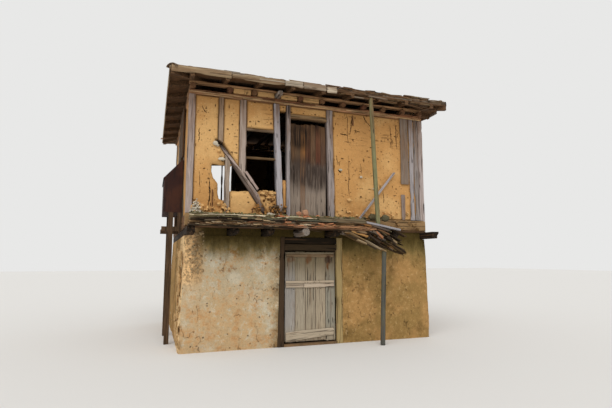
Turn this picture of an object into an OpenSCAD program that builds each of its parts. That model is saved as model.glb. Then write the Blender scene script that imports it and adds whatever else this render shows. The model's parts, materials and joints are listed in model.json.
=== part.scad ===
// Two-storey adobe house with a timber frame, a broken front ledge and a low hipped roof.
// Millimetres. X runs along the front from left to right, Y runs from the front to the back,
// Z is up. The origin is on the ground in the middle of the walls' footprint.

/* [House] */
// Width of the walls along the front
house_w = 5000; // [4700:50:5400]
// Depth of the walls from front to back
house_d = 4200; // [3900:50:4600]
// Height of the lower walls up to the floor joists
lower_h = 2030; // [1980:10:2200]
// Thickness of the lower walls
lower_t = 450; // [380:10:500]
// How far the side and back walls spread at their foot
batter = 60; // [10:5:100]
// Thickness of the beaten earth floor
earth_t = 40; // [30:5:60]
// Height of the upper frame between the sill beams and the top plates
upper_h = 2210; // [2150:10:2400]
// Depth of the upper frame's timbers, which is the upper wall's thickness
frame_t = 150; // [120:5:180]
// How far the adobe infill lies behind the face of the frame
infill_back = 15; // [5:5:30]

/* [Lower door] */
// Distance from the left corner to the door leaf
door_from_corner = 1875; // [1800:5:1950]
// Width of the door leaf
door_w = 1030; // [960:10:1080]
// Height of the door leaf
door_h = 1710; // [1600:10:1740]
// Number of boards in the leaf
door_boards = 5; // [4:1:7]
// Thickness of the leaf's boards
door_board_t = 30; // [22:1:36]
// Gap between the leaf's boards
board_gap = 4; // [2:1:6]
// Thickness of the ledges across the leaf
batten_t = 24; // [18:1:30]
// Height of each ledge across the leaf
batten_h = 95; // [70:5:120]
// Gap at the free edge of the leaf
door_free_gap = 25; // [15:1:40]
// Gap at the hinge edge of the leaf
door_hinge_gap = 7; // [6:1:12]
// Gap under the leaf
door_foot_gap = 12; // [8:1:20]
// Width of the left door post at its top
left_post_w = 90; // [80:5:120]
// How far the left door post spreads at its foot
left_post_flare = 40; // [0:5:60]
// Width of the right door post
right_post_w = 128; // [100:2:150]
// How far the leaf is set back from the wall's face
door_set_back = 70; // [65:5:100]

/* [Hinges] */
// Diameter of the hinge pins
pin_d = 14; // [10:1:18]
// Clearance between pin and eye
pin_fit = 0.3; // [0.2:0.1:0.5]
// Wall of the strap's eye
eye_wall = 5; // [4:1:8]
// Length of each strap
strap_l = 620; // [450:10:750]
// Height of each strap
strap_h = 42; // [30:2:60]
// Thickness of each strap
strap_t = 6; // [4:1:8]
// Height of the lower strap above the leaf's foot
low_strap_z = 260; // [180:10:400]
// Height of the upper strap above the leaf's foot
high_strap_z = 1390; // [1200:10:1450]

/* [Floor] */
// Diameter of the joist logs
joist_d = 150; // [130:5:170]
// Depth hewn off above and below each joist log
joist_hewn = 5; // [3:1:8]
// Distance from the left corner to the first inner joist
joist_first = 820; // [760:10:860]
// Spacing of the inner joists
joist_pitch = 640; // [600:10:660]
// Number of inner joists
joist_count = 6; // [6:1:6]
// Thickness of the floor boards
deck_t = 32; // [25:1:40]
// Thickness of the clay laid on the boards
clay_t = 100; // [60:5:120]
// Height of the sill beams
sill_h = 228; // [200:4:260]

/* [Ledge] */
// How far the ledge reaches out from the front wall
ledge_out = 500; // [440:10:560]
// Distance from the left corner to the ledge's broken right end
ledge_l = 3480; // [3440:10:3560]
// Thickness of the broken clay and tile layer
rubble_t = 95; // [70:5:110]
// Thickness of the planks on top of the ledge
plank_t = 90; // [60:5:110]
// Width of the outer planks
plank_w = 200; // [160:10:230]
// Length of the outer plank at the left
left_plank_l = 1540; // [1400:10:1600]
// Length of the outer plank at the right
right_plank_l = 970; // [900:10:1000]
// Thickness of the fallen boards
fallen_t = 36; // [25:1:50]
// Width of the fallen boards
fallen_w = 130; // [100:5:150]
// Diameter of the ledge post
ledge_post_d = 95; // [80:5:110]
// Diameter of the pole under the eave
pole_d = 96; // [80:4:110]
// Distance from the left corner to the foot of the brace at the right
right_brace_x = 3370; // [3300:10:3400]
// Height of that brace's head above the sill beam
right_brace_rise = 1000; // [900:10:1050]

/* [Upper frame] */
// Width of the corner posts
corner_w = 120; // [100:5:150]
// Width of the left brace
brace_w = 86; // [70:2:100]
// Distance from the left corner to the left brace's foot
brace_foot_x = 1500; // [1460:10:1540]
// Distance from the left corner to the left brace's head
brace_head_x = 551; // [540:1:565]
// Height of the left brace's head above the sill beam
brace_head_z = 1390; // [1360:10:1420]
// Distance from the left corner to the upper short stud
upper_stub_x = 550; // [540:2:570]
// Distance from the left corner to the lower short stud
lower_stub_x = 688; // [680:2:700]
// Width of the short studs
stub_w = 92; // [84:2:100]
// Width of the side and back studs
stud_w = 110; // [90:5:130]
// Height of the top plates
plate_h = 110; // [90:5:130]
// Distance from the left corner to the window's left stud
window_stud_x = 950; // [930:5:970]
// Width of the window's left stud
window_stud_w = 130; // [110:5:140]
// Width of the window opening at its top
window_w = 520; // [500:5:540]
// Width of the window's right stud
lean_stud_w = 122; // [110:2:126]
// How far the window's right stud leans
lean = 100; // [60:5:110]
// Height of the window's top bar above the sill beam
window_head_z = 1620; // [1560:10:1700]
// Height of the window's middle bar above the sill beam
transom_z = 1070; // [1000:10:1150]
// Height of the window's bars
bar_h = 52; // [40:2:60]
// Height of the broken wall under the window
fallen_z = 432; // [410:2:440]
// Width of the gap between the leaning stud's foot and the door jamb
side_gap_w = 58; // [50:2:80]
// Height of that gap's foot above the sill beam
side_gap_z = 700; // [650:10:750]
// Height of the wall left above that gap
side_gap_head = 130; // [110:5:150]
// Width of the narrow boards beside the right corner
corner_board_w = 112; // [100:2:120]
// Width of the wide board beside the right corner
wide_board_w = 200; // [180:5:220]
// Height of the wide board's foot above the sill beam
wide_board_z = 770; // [700:10:800]

/* [Upper door] */
// Width of the left jamb
jamb_w = 76; // [60:2:90]
// Width of the doorway
upper_door_w = 766; // [720:2:800]
// Width of the right jamb
right_jamb_w = 132; // [110:2:150]
// Height of the doorway's lintel
upper_lintel_h = 88; // [70:2:100]
// Height of the adobe panel over the lintel
over_door_h = 172; // [160:2:190]
// Thickness of the upper door's boards
upper_board_t = 28; // [22:1:35]
// Number of boards in the upper door
upper_boards = 7; // [5:1:8]
// How far the upper door is set back
upper_set_back = 62; // [40:2:80]

/* [Back window] */
// Distance from the left corner to the back window
back_window_x = 650; // [600:10:700]
// Width of the back window
back_window_w = 850; // [800:10:900]
// Height of the back window's foot above the sill beam
back_window_z = 720; // [650:10:800]
// Height of the back window
back_window_h = 1200; // [1100:10:1250]
// Spacing of the studs beside the back window
back_stud_pitch = 1000; // [940:10:1020]

/* [Roof] */
// How far the eaves reach past the front and back walls
eave_out = 400; // [360:10:450]
// How far the eaves reach past the side walls
side_out = 350; // [300:10:400]
// Slope of the roof in degrees
pitch = 12; // [10:1:14]
// Diameter of the ceiling joists
tail_d = 110; // [100:5:120]
// Depth hewn off above and below each ceiling joist
tail_hewn = 5; // [3:1:8]
// Spacing of the ceiling joists
tail_pitch = 470; // [460:5:475]
// Distance from the left corner to the first inner ceiling joist
tail_first = 750; // [700:10:780]
// How far the longest ceiling joist reaches past the wall
tail_out = 200; // [150:10:220]
// Height of the rafters
rafter_h = 80; // [70:5:100]
// Width of the rafters
rafter_w = 75; // [60:5:90]
// Spacing of the rafters
rafter_pitch = 620; // [590:10:640]
// Thickness of the roof boards
roof_deck_t = 25; // [20:1:32]
// Thickness of the roof covering
cover_t = 70; // [60:5:90]
// Height of the tile rows over the channels between them
tile_rise = 42; // [30:2:50]
// Spacing of the tile rows
tile_pitch = 210; // [190:5:230]
// Width of a tile row
tile_w = 160; // [130:5:170]
// Width of the caps on the hips and the ridge
cap_w = 200; // [160:10:240]
// Height of the eave boards
fascia_h = 150; // [120:5:160]
// Thickness of the eave boards
fascia_t = 25; // [20:1:32]

/* [Side closet] */
// Distance from the front face to the closet
closet_y = 1000; // [900:10:1100]
// Length of the closet along the wall
closet_l = 1100; // [1000:10:1200]
// How far the closet stands out from the wall
closet_out = 350; // [300:10:400]
// Height of the closet at the wall
closet_high = 1070; // [950:10:1150]
// Height of the closet at its outer side
closet_low = 680; // [600:10:750]
// Thickness of the closet's panels
panel_t = 22; // [18:1:30]
// Size of the closet's posts and bearers
closet_post_w = 90; // [80:5:100]

/* [Hidden] */
$fn = 48;
eps = 1;
seam = 0.5;
seat_gap = 0.3;
past_all = 200;

left_x = -house_w / 2;
right_x = house_w / 2;
front_y = -house_d / 2;
back_y = house_d / 2;
joist_h = joist_d - 2 * joist_hewn;
joist_top = lower_h + joist_h;
deck_top = joist_top + deck_t;
sill_top = deck_top + sill_h;
plate_z = sill_top + upper_h;
plate_top = plate_z + plate_h;
tail_h = tail_d - 2 * tail_hewn;
tail_top = plate_top + tail_h;

leaf_x = left_x + door_from_corner;
leaf_z = earth_t + door_foot_gap;
leaf_y = front_y + door_set_back;
leaf_in = leaf_y + door_board_t;
leaf_right = leaf_x + door_w;
post_gap_l = leaf_x - door_free_gap;
post_gap_r = leaf_right + door_hinge_gap;
post_back = leaf_in - 4;
head_gap = 10;
head_z = leaf_z + door_h + head_gap;
eye_r = pin_d / 2 + pin_fit + eye_wall;
pin_out = 27;
eye_gap = 2;
hinge_x = leaf_right + pin_out;
hinge_y = leaf_in + eye_r + eye_gap;
lintel_w = 120;
lintel_h = 120;
lintel_bearing = 230;
lintel_y = post_back + 90;

edge_joist_w = 140;
edge_inset = 5;
edge_tail_in = 60;
tail_count = floor((house_w - tail_first - edge_tail_in - 400) / tail_pitch) + 1;
slope = tan(pitch);
eave_z = tail_top - (eave_out - tail_out) * slope;
roof_l = left_x - side_out;
roof_r = right_x + side_out;
roof_f = front_y - eave_out;
roof_b = back_y + eave_out;
half_run = (roof_b - roof_f) / 2;
ledge_front = front_y - ledge_out;

// Points on the front face, from the left corner and the top of the sill beam
function at(x, z) = [left_x + x, sill_top + z];

// Where the left brace's centre line is at a height, and how high it is at a place
function brace_x(z) = brace_foot_x - (brace_foot_x - brace_head_x) * z / brace_head_z;
function brace_z(x) = (brace_foot_x - x) * brace_head_z / (brace_foot_x - brace_head_x);

// The middle of the window's leaning right stud at a height
lean_head_x = window_stud_x + window_stud_w + window_w;
function lean_mid(z) = lean_head_x + lean * (1 - z / upper_h) + lean_stud_w / 2;

window_stud_mid = window_stud_x + window_stud_w / 2;
jamb_x = lean_head_x + lean + lean_stud_w + side_gap_w;
upper_door_h = upper_h - over_door_h - upper_lintel_h;

// Extrudes a profile drawn in X and Z from y1 back to y2
module along_y(y1, y2) {
    translate([0, y2, 0]) rotate([90, 0, 0]) linear_extrude(y2 - y1) children();
}

// Extrudes a profile drawn in Y and Z from x1 to x2
module along_x(x1, x2) {
    translate([x1, 0, 0]) rotate([90, 0, 90]) linear_extrude(x2 - x1) children();
}

// A box between two corners
module block(a, b) {
    translate(a) cube(b - a);
}

// A timber in the plane of the front, with level ends
module slanted(p, q, w, y1, y2) {
    half = w / 2 / sin(atan2(abs(q[1] - p[1]), abs(q[0] - p[0])));
    along_y(y1, y2) polygon([
        [p[0] - half, p[1]], [p[0] + half, p[1]], [q[0] + half, q[1]], [q[0] - half, q[1]]
    ]);
}

// A round pole between two points
module pole(p, q, d) {
    v = q - p;
    run = norm([v[0], v[1]]);
    translate(p) rotate([0, atan2(run, v[2]), atan2(v[1], v[0])]) cylinder(h = norm(v), d = d, $fn = 12);
}

// A log along Y with hewn flats above and below
module log_y(x, z, d, h, y1, y2) {
    intersection() {
        translate([x, y1, z + h / 2]) rotate([-90, 0, 0]) cylinder(h = y2 - y1, d = d);
        block([x - d, y1 - eps, z], [x + d, y2 + eps, z + h]);
    }
}

// The lower walls' outer form, spreading at the foot
module lower_mass() {
    intersection() {
        along_y(front_y, back_y + batter) polygon([
            [left_x - batter, 0], [right_x + batter, 0], [right_x, lower_h], [left_x, lower_h]
        ]);
        along_x(left_x - batter, right_x + batter) polygon([
            [front_y, 0], [back_y + batter, 0], [back_y, lower_h], [front_y, lower_h]
        ]);
    }
}

module left_door_post_form() {
    polygon([
        [post_gap_l - left_post_w - left_post_flare, 0], [post_gap_l, 0],
        [post_gap_l, lower_h], [post_gap_l - left_post_w, lower_h]
    ]);
}

module lintel_form() {
    block([post_gap_l - left_post_w - left_post_flare - lintel_bearing, lintel_y,
           lower_h - lintel_h],
          [post_gap_r + right_post_w + lintel_bearing, lintel_y + lintel_w, lower_h]);
}

module earth_floor() {
    color([0.42, 0.33, 0.24]) {
        block([left_x + lower_t, front_y + lower_t, 0],
              [right_x - lower_t, back_y - lower_t, earth_t]);
        block([post_gap_l, front_y, 0], [post_gap_r, front_y + lower_t, earth_t]);
    }
}

module lower_front_wall_left() {
    color([0.80, 0.70, 0.52]) difference() {
        along_y(front_y, front_y + lower_t) polygon([
            [left_x + lower_t, 0], [post_gap_l - left_post_w - left_post_flare, 0],
            [post_gap_l - left_post_w, lower_h], [left_x + lower_t, lower_h]
        ]);
        lintel_form();
    }
}

module lower_front_wall_right() {
    color([0.78, 0.62, 0.42]) difference() {
        block([post_gap_r + right_post_w, front_y, 0],
              [right_x - lower_t, front_y + lower_t, lower_h]);
        lintel_form();
    }
}

module lower_left_wall() {
    color([0.78, 0.60, 0.38]) intersection() {
        lower_mass();
        block([left_x - batter, front_y, 0], [left_x + lower_t, back_y + batter, lower_h]);
    }
}

module lower_right_wall() {
    color([0.78, 0.60, 0.38]) intersection() {
        lower_mass();
        block([right_x - lower_t, front_y, 0], [right_x + batter, back_y + batter, lower_h]);
    }
}

module lower_back_wall() {
    color([0.78, 0.60, 0.38]) intersection() {
        lower_mass();
        block([left_x + lower_t, back_y - lower_t, 0],
              [right_x - lower_t, back_y + batter, lower_h]);
    }
}

module door_posts() {
    color([0.36, 0.22, 0.16]) along_y(front_y, post_back) left_door_post_form();
    color([0.62, 0.50, 0.36]) block([post_gap_r, front_y, 0],
                                    [post_gap_r + right_post_w, post_back, lower_h]);
}

// Two boards close the space between the door's head and the joists
module over_door_boards() {
    rise = (lower_h - head_z) / 2;
    y1 = front_y + 12;
    color([0.30, 0.24, 0.18]) for (i = [0, 1])
        block([post_gap_l, y1, head_z + i * (rise + seam)],
              [post_gap_r, y1 + door_board_t, head_z + (i + 1) * rise]);
}

module lower_lintel() {
    color([0.34, 0.26, 0.19]) lintel_form();
}

// Upright boards joined by three ledges on the outer face
module lower_door() {
    pitch_w = (door_w + board_gap) / door_boards;
    foot_ledge_z = 60;
    head_ledge_z = door_h - 20 - batten_h;
    ledge_z = [foot_ledge_z, (foot_ledge_z + head_ledge_z) * 0.63, head_ledge_z];
    free_inset = 12;
    post_inset = 30;
    color([0.66, 0.60, 0.52]) {
        for (i = [0:door_boards - 1])
            block([leaf_x + i * pitch_w, leaf_y, leaf_z],
                  [leaf_x + (i + 1) * pitch_w - board_gap, leaf_in, leaf_z + door_h]);
        for (z = ledge_z)
            block([leaf_x + free_inset, leaf_y - batten_t, leaf_z + z],
                  [leaf_right - post_inset, leaf_y, leaf_z + z + batten_h]);
    }
}

module strap_levels() {
    for (z = [low_strap_z, high_strap_z]) translate([0, 0, leaf_z + z]) children();
}

module door_straps() {
    color([0.24, 0.17, 0.14]) strap_levels() difference() {
        union() {
            block([hinge_x - strap_l, leaf_in, 0], [hinge_x, leaf_in + strap_t, strap_h]);
            translate([hinge_x, hinge_y, 0]) cylinder(h = strap_h, r = eye_r);
        }
        translate([hinge_x, hinge_y, -eps])
            cylinder(h = strap_h + 2 * eps, d = pin_d + 2 * pin_fit);
    }
}

// Each pin stands on an arm from a plate on the right post
module door_pintles() {
    arm_h = 26;
    arm_w = 16;
    plate_l = 60;
    pin_rise = 8;
    color([0.22, 0.16, 0.13]) strap_levels() {
        block([hinge_x - arm_w / 2, post_back, -arm_h - pin_fit],
              [hinge_x + arm_w / 2, hinge_y + pin_d / 2, -pin_fit]);
        block([hinge_x - arm_w / 2, post_back, -arm_h - plate_l / 2],
              [hinge_x + plate_l, post_back + strap_t + 1, -arm_h]);
        translate([hinge_x, hinge_y, -pin_fit - eps])
            cylinder(h = strap_h + pin_fit + eps + pin_rise, d = pin_d);
    }
}

function joist_x(i) = left_x + joist_first + i * joist_pitch;

// How far each joist's rotten end stops short of the ledge's edge
joist_short = [50, 38, -15, 45, 30, 38];
edge_joist_short = 40;

// The middles of all joists, with the squared ones at the two sides
joist_mids = concat(
    [left_x + edge_inset + edge_joist_w / 2],
    [for (i = [0:joist_count - 1]) joist_x(i)],
    [right_x - edge_inset - edge_joist_w / 2]
);

module edge_joist(x1) {
    block([x1, ledge_front + edge_joist_short, lower_h], [x1 + edge_joist_w, back_y, joist_top]);
}

module floor_joists() {
    color([0.45, 0.38, 0.30]) {
        for (i = [0:joist_count - 1])
            log_y(joist_x(i), lower_h, joist_d, joist_h,
                  ledge_front + joist_short[i % len(joist_short)], back_y);
        edge_joist(left_x + edge_inset);
        edge_joist(right_x - edge_inset - edge_joist_w);
    }
}

fill_back = 20;

// Adobe between the joists where they lie on the walls
module floor_fill() {
    color([0.76, 0.58, 0.36]) difference() {
        block([left_x + edge_inset + edge_joist_w, front_y + fill_back, lower_h],
              [right_x - edge_inset - edge_joist_w, back_y - fill_back, joist_top]);
        block([left_x + lower_t, front_y + lower_t, lower_h - eps],
              [right_x - lower_t, back_y - lower_t, joist_top + eps]);
        for (i = [0:joist_count - 1])
            block([joist_x(i) - joist_d / 2, front_y - eps, lower_h - eps],
                  [joist_x(i) + joist_d / 2, back_y + eps, joist_top + eps]);
        for (y = [front_y + lower_t, back_y - lower_t])
            block([left_x, y - seam / 2, lower_h - eps], [right_x, y + seam / 2, joist_top + eps]);
    }
}

module floor_boards() {
    color([0.40, 0.33, 0.25]) block([left_x + edge_inset, front_y, joist_top],
                                    [right_x - edge_inset, back_y, deck_top]);
}

module clay_floor() {
    color([0.50, 0.38, 0.26]) block([left_x + frame_t, front_y + frame_t, deck_top],
                                    [right_x - frame_t, back_y - frame_t, deck_top + clay_t]);
}

// Four beams around the house at one level, butted at the corners
module beam_ring(z1, z2) {
    block([left_x, front_y, z1], [right_x, front_y + frame_t, z2]);
    block([left_x, back_y - frame_t, z1], [right_x, back_y, z2]);
    for (x = [left_x, right_x - frame_t])
        block([x, front_y + frame_t + seam, z1], [x + frame_t, back_y - frame_t - seam, z2]);
}

module sill_beams() {
    color([0.46, 0.36, 0.28]) beam_ring(deck_top, sill_top);
}

// Where the outer plank ends and the sliding board starts
slide_head = left_x + ledge_l - 165;
plank_joint = 5;

// Three boards that carry the ledge on the joist ends
module ledge_boards() {
    n = 3;
    w = (ledge_out - 10) / n;
    step_in = 14;
    past_end = [160, 90, 40];
    color([0.50, 0.46, 0.40]) for (i = [0:n - 1])
        block([left_x + 8 + i * step_in, ledge_front + i * w, joist_top],
              [left_x + ledge_l + past_end[i], ledge_front + (i + 1) * w - board_gap,
               deck_top]);
}

// Broken clay and tile pieces with a ragged outer edge
module ledge_rubble() {
    ragged = [70, 24, 46, 12, 30, 60];
    x1 = left_x + 50;
    y2 = front_y - 10;
    run = (slide_head - x1) / len(ragged);
    under_slide = slide_head + slide_seat - eps;
    color([0.66, 0.40, 0.28]) translate([0, 0, deck_top]) linear_extrude(rubble_t)
        polygon(concat(
            [[x1 + 10, y2]],
            [for (i = [0:len(ragged) - 1]) [x1 + i * run, ledge_front + ragged[i]]],
            [[under_slide - 30, ledge_front + 40], [under_slide, ledge_front + plank_w + 40],
             [slide_head - 15, y2]]
        ));
}

plank_z = deck_top + rubble_t;
back_plank_top = plank_z + plank_t - 14;
back_plank_past = 105;

// Two thick outer planks with a gap between them, and one along the wall
module ledge_planks() {
    outer = ledge_front + 4;
    right_end = slide_head - plank_joint;
    color([0.46, 0.47, 0.38]) {
        block([left_x + 20, outer + 6, plank_z],
              [left_x + 20 + left_plank_l, outer + plank_w, plank_z + plank_t]);
        block([right_end - right_plank_l, outer, plank_z],
              [right_end, outer + plank_w - 30, plank_z + plank_t + 12]);
        block([left_x + 40, outer + plank_w + 16, plank_z],
              [slide_head + back_plank_past, front_y - 4, back_plank_top]);
    }
}

// The sliding board's head lies flat on the rubble, and its foot on a joist further right
slide_seat = 60;
slide_t = fallen_t + 8;
slide_past = 60;
slide_foot = [for (x = joist_mids) if (x > slide_head + 500) x][0] + joist_d * 0.2;
slide_fall = (plank_z - joist_top) / (slide_foot - slide_head - slide_seat);

// The height of the sliding board's under side
function slide_z(x) = plank_z - max(0, x - slide_head - slide_seat) * slide_fall;

module slide_form(h1, h2) {
    turn = slide_head + slide_seat;
    end = slide_foot + slide_past;
    polygon([
        [slide_head, plank_z + h1], [turn, plank_z + h1], [end, slide_z(end) + h1],
        [end, slide_z(end) + h2], [turn, plank_z + h2], [slide_head, plank_z + h2]
    ]);
}

// The hanging boards start beside the last sound joist and pass under the next one
hang_joist = [for (x = joist_mids) if (x < slide_head - 400) x];
hang_start = hang_joist[len(hang_joist) - 1] + joist_d / 2 + 20;
hang_next = [for (x = joist_mids) if (x > hang_start) x][0] - joist_d / 2;
hang_under = 45;
hang_head = 65;

// The height of the upper side of a board that starts at x1
function hang_top(x1, x) =
    joist_top - (x - x1) * (joist_h + hang_under) / (hang_next - hang_start - hang_head);

module hanging_board(x1, x2, y) {
    turn = x1 + hang_head;
    cut = 20;
    along_y(y, y + fallen_w) polygon([
        [x1, joist_top], [turn, joist_top], [x2 + cut, hang_top(turn, x2 + cut)],
        [x2, hang_top(turn, x2) - fallen_t]
    ]);
}

hang_end = left_x + ledge_l + 330;

module fallen_boards() {
    color([0.52, 0.50, 0.46]) {
        along_y(ledge_front + 10, ledge_front + 10 + plank_w) slide_form(0, slide_t);
        hanging_board(hang_start, hang_end, ledge_front + 10);
        hanging_board(hang_start + 20, hang_end - 140, ledge_front + 20 + fallen_w);
        hanging_board(hang_start - 5, hang_end - 370, ledge_front + 30 + 2 * fallen_w);
    }
}

// A crooked post whose head is cut to the first hanging board
module ledge_post() {
    foot = [hang_end - 150, ledge_front + 70, 0];
    head = [hang_end - 60, ledge_front + 75, lower_h];
    x1 = hang_start;
    x2 = hang_end + past_all;
    color([0.50, 0.48, 0.44]) difference() {
        pole(foot - (head - foot) * 0.05, head, ledge_post_d);
        translate([foot[0], foot[1], -past_all]) cube(2 * past_all, center = true);
        along_y(ledge_front - past_all, front_y) polygon([
            [x1, hang_top(hang_start + hang_head, x1) - fallen_t - seat_gap],
            [x2, hang_top(hang_start + hang_head, x2) - fallen_t - seat_gap],
            [x2, joist_top + past_all], [x1, joist_top + past_all]
        ]);
    }
}

pole_x = slide_head + (slide_foot - slide_head) * 0.44;
pole_lean = 100;
pole_foot_in = 90;
pole_head_in = 60;

// A round pole that stands on the sliding board and holds up the eave
module eave_pole() {
    foot = [pole_x, ledge_front + pole_foot_in, slide_z(pole_x)];
    head = [pole_x - pole_lean, roof_f + pole_head_in, tail_top + past_all];
    color([0.46, 0.47, 0.42]) intersection() {
        pole(foot - (head - foot) * 0.1, head, pole_d);
        roof_form(rafter_h);
        along_y(ledge_front - past_all, front_y) slide_form(slide_t, 2 * tail_top);
    }
}

module corner_posts() {
    color([0.58, 0.53, 0.52])
        for (x = [left_x, right_x - corner_w]) for (y = [front_y, back_y - frame_t])
            block([x, y, sill_top], [x + corner_w, y + frame_t, plate_z]);
}

// The left brace runs from the short stud down to the sill beam
brace_foot = at(brace_foot_x, 0);
brace_head = at(brace_head_x, brace_head_z);

module left_brace(y1, y2) {
    slanted(brace_foot, brace_head, brace_w, y1, y2);
}

module lean_stud_form() {
    foot_x = lean_head_x + lean;
    polygon([
        at(foot_x, 0), at(foot_x + lean_stud_w, 0),
        at(lean_head_x + lean_stud_w, upper_h), at(lean_head_x, upper_h)
    ]);
}

module front_studs() {
    y2 = front_y + frame_t;
    color([0.60, 0.54, 0.52]) {
        upper_short_stud(front_y, y2);
        lower_short_stud(front_y, y2);
        window_stud(front_y, y2);
        along_y(front_y, y2) lean_stud_form();
    }
}

// The side of the brace that faces up and to the right
module above_brace(y1, y2) {
    along_y(y1, y2) polygon([brace_foot, at(house_w, 0), at(house_w, upper_h), at(0, upper_h),
                             at(0, brace_head_z), brace_head]);
}

module upper_short_stud(y1, y2) {
    difference() {
        intersection() {
            block([left_x + upper_stub_x, y1, sill_top + brace_head_z - 400],
                  [left_x + upper_stub_x + stub_w, y2, plate_z]);
            above_brace(y1 - eps, y2 + eps);
        }
        left_brace(y1 - eps, y2 + eps);
    }
}

module lower_short_stud(y1, y2) {
    difference() {
        block([left_x + lower_stub_x, y1, sill_top],
              [left_x + lower_stub_x + stub_w, y2, sill_top + brace_head_z]);
        above_brace(y1 - eps, y2 + eps);
        left_brace(y1 - eps, y2 + eps);
    }
}

module window_stud(y1, y2) {
    difference() {
        intersection() {
            block([left_x + window_stud_x, y1, sill_top + eps],
                  [left_x + window_stud_x + window_stud_w, y2, plate_z]);
            above_brace(y1 - eps, y2 + eps);
        }
        left_brace(y1 - eps, y2 + eps);
    }
}

// The right brace leans on the wall with its foot on the ledge, and a short offcut is
// nailed to the window's left stud beside the left brace
module front_braces() {
    right_w = 70;
    right_t = 50;
    right_run = 880;
    offcut_w = 40;
    offcut_t = 24;
    color([0.58, 0.53, 0.52]) {
        left_brace(front_y, front_y + frame_t);
        slanted([left_x + right_brace_x, back_plank_top],
                [left_x + right_brace_x + right_run, sill_top + right_brace_rise], right_w,
                front_y - right_t, front_y);
        slanted(at(window_stud_mid + 255, brace_z(window_stud_mid) - 245),
                at(window_stud_mid - 35, brace_z(window_stud_mid) + 100), offcut_w,
                front_y - offcut_t, front_y);
    }
}

module window_bars() {
    x1 = window_stud_x + window_stud_w;
    y1 = front_y + 20;
    y2 = y1 + 70;
    color([0.55, 0.44, 0.30]) difference() {
        for (z = [transom_z, window_head_z])
            along_y(y1, y2) polygon([
                at(x1, z), at(x1 + window_w + lean, z),
                at(x1 + window_w + lean, z + bar_h), at(x1, z + bar_h)
            ]);
        along_y(y1 - eps, y2 + eps) lean_stud_form();
    }
}

door_open_l = jamb_x + jamb_w;
door_open_r = door_open_l + upper_door_w;
jamb_lean = 42;
right_jamb_mid = door_open_r + (jamb_lean + right_jamb_w) / 2;

module right_jamb_form() {
    polygon([
        at(door_open_r + jamb_lean, 0), at(door_open_r + jamb_lean + right_jamb_w, 0),
        at(door_open_r + right_jamb_w, upper_h), at(door_open_r, upper_h)
    ]);
}

module upper_door_jambs() {
    y2 = front_y + frame_t;
    color([0.60, 0.54, 0.52]) {
        block([left_x + jamb_x, front_y, sill_top], [left_x + door_open_l, y2, plate_z]);
        along_y(front_y, y2) right_jamb_form();
    }
}

module upper_door_lintel() {
    color([0.52, 0.38, 0.24]) difference() {
        block([left_x + door_open_l, front_y + 8, sill_top + upper_door_h],
              [left_x + door_open_r + jamb_lean, front_y + frame_t,
               sill_top + upper_door_h + upper_lintel_h]);
        along_y(front_y, front_y + frame_t + eps) right_jamb_form();
    }
}

// Upright boards held by two ledges inside; the last board ends short
module upper_door() {
    y1 = front_y + upper_set_back;
    gap = 3;
    x1 = left_x + door_open_l + gap;
    w = (upper_door_w - gap) / upper_boards;
    short = 40;
    head_gap = 45;
    cross_h = 100;
    color([0.42, 0.34, 0.28]) {
        for (i = [0:upper_boards - 1])
            block([x1 + i * w, y1, sill_top + (i == upper_boards - 1 ? short : 0)],
                  [x1 + (i + 1) * w - gap, y1 + upper_board_t,
                   sill_top + upper_door_h - head_gap]);
        for (z = [300, upper_door_h - 450])
            block([x1, y1 + upper_board_t, sill_top + z],
                  [x1 + upper_door_w - 2 * gap, y1 + upper_board_t + 30,
                   sill_top + z + cross_h]);
    }
}

// Ragged outline of the hole under the left brace, round the lower short stud
breach_top = 930;
breach = [
    at(450, 910), at(462, 740), at(500, 650), at(560, 560), at(585, 310), at(630, 262),
    at(lower_stub_x, 258), at(lower_stub_x + stub_w, fallen_z - 4), at(1060, fallen_z + 16),
    at(brace_x(fallen_z + 20), fallen_z + 20), at(brace_x(breach_top), breach_top),
    at(770, breach_top - 18), at(660, breach_top - 5)
];

// The broken edge under the window: how far across it each point is, and its rise
broken_foot = [[0, 0], [0.23, 23], [0.40, -22], [0.64, 0], [1, -32]];

// Outline of the window and of the wall that has fallen out below it
window_hole = concat(
    [at(window_stud_mid, brace_z(window_stud_mid))],
    [for (p = broken_foot)
        at(brace_x(fallen_z) + p[0] * (lean_mid(fallen_z) - brace_x(fallen_z)),
           fallen_z + p[1])],
    [at(lean_mid(window_head_z), window_head_z), at(window_stud_mid, window_head_z)]
);

// Outline of the narrow gap between the leaning stud and the door jamb
gap_top = upper_h - side_gap_head;
side_gap = [
    at(lean_mid(side_gap_z), side_gap_z), at(jamb_x + jamb_w / 2, side_gap_z),
    at(jamb_x + jamb_w / 2, gap_top), at(lean_mid(gap_top), gap_top)
];

module front_timbers() {
    y1 = front_y - eps;
    y2 = front_y + frame_t + eps;
    upper_short_stud(y1, y2);
    lower_short_stud(y1, y2);
    window_stud(y1, y2);
    left_brace(y1, y2);
    along_y(y1, y2) {
        lean_stud_form();
        right_jamb_form();
    }
    block([left_x + jamb_x, y1, sill_top], [left_x + door_open_l, y2, plate_z]);
}

module front_infill(x1, x2) {
    difference() {
        block([left_x + x1, front_y + infill_back, sill_top],
              [left_x + x2, front_y + frame_t, plate_z]);
        front_timbers();
        children();
    }
}

module front_infill_left() {
    y1 = front_y - eps;
    y2 = front_y + frame_t + eps;
    color([0.80, 0.55, 0.30]) front_infill(corner_w, right_jamb_mid) {
        along_y(y1, y2) polygon(breach);
        along_y(y1, y2) polygon(window_hole);
        along_y(y1, y2) polygon(side_gap);
        block([left_x + window_stud_mid, y1, sill_top + window_head_z - eps],
              [left_x + lean_mid(window_head_z), y2, sill_top + window_head_z + bar_h]);
        block([left_x + door_open_l, y1, sill_top - eps],
              [left_x + door_open_r + jamb_lean, y2, sill_top + upper_door_h + upper_lintel_h]);
    }
}

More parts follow.
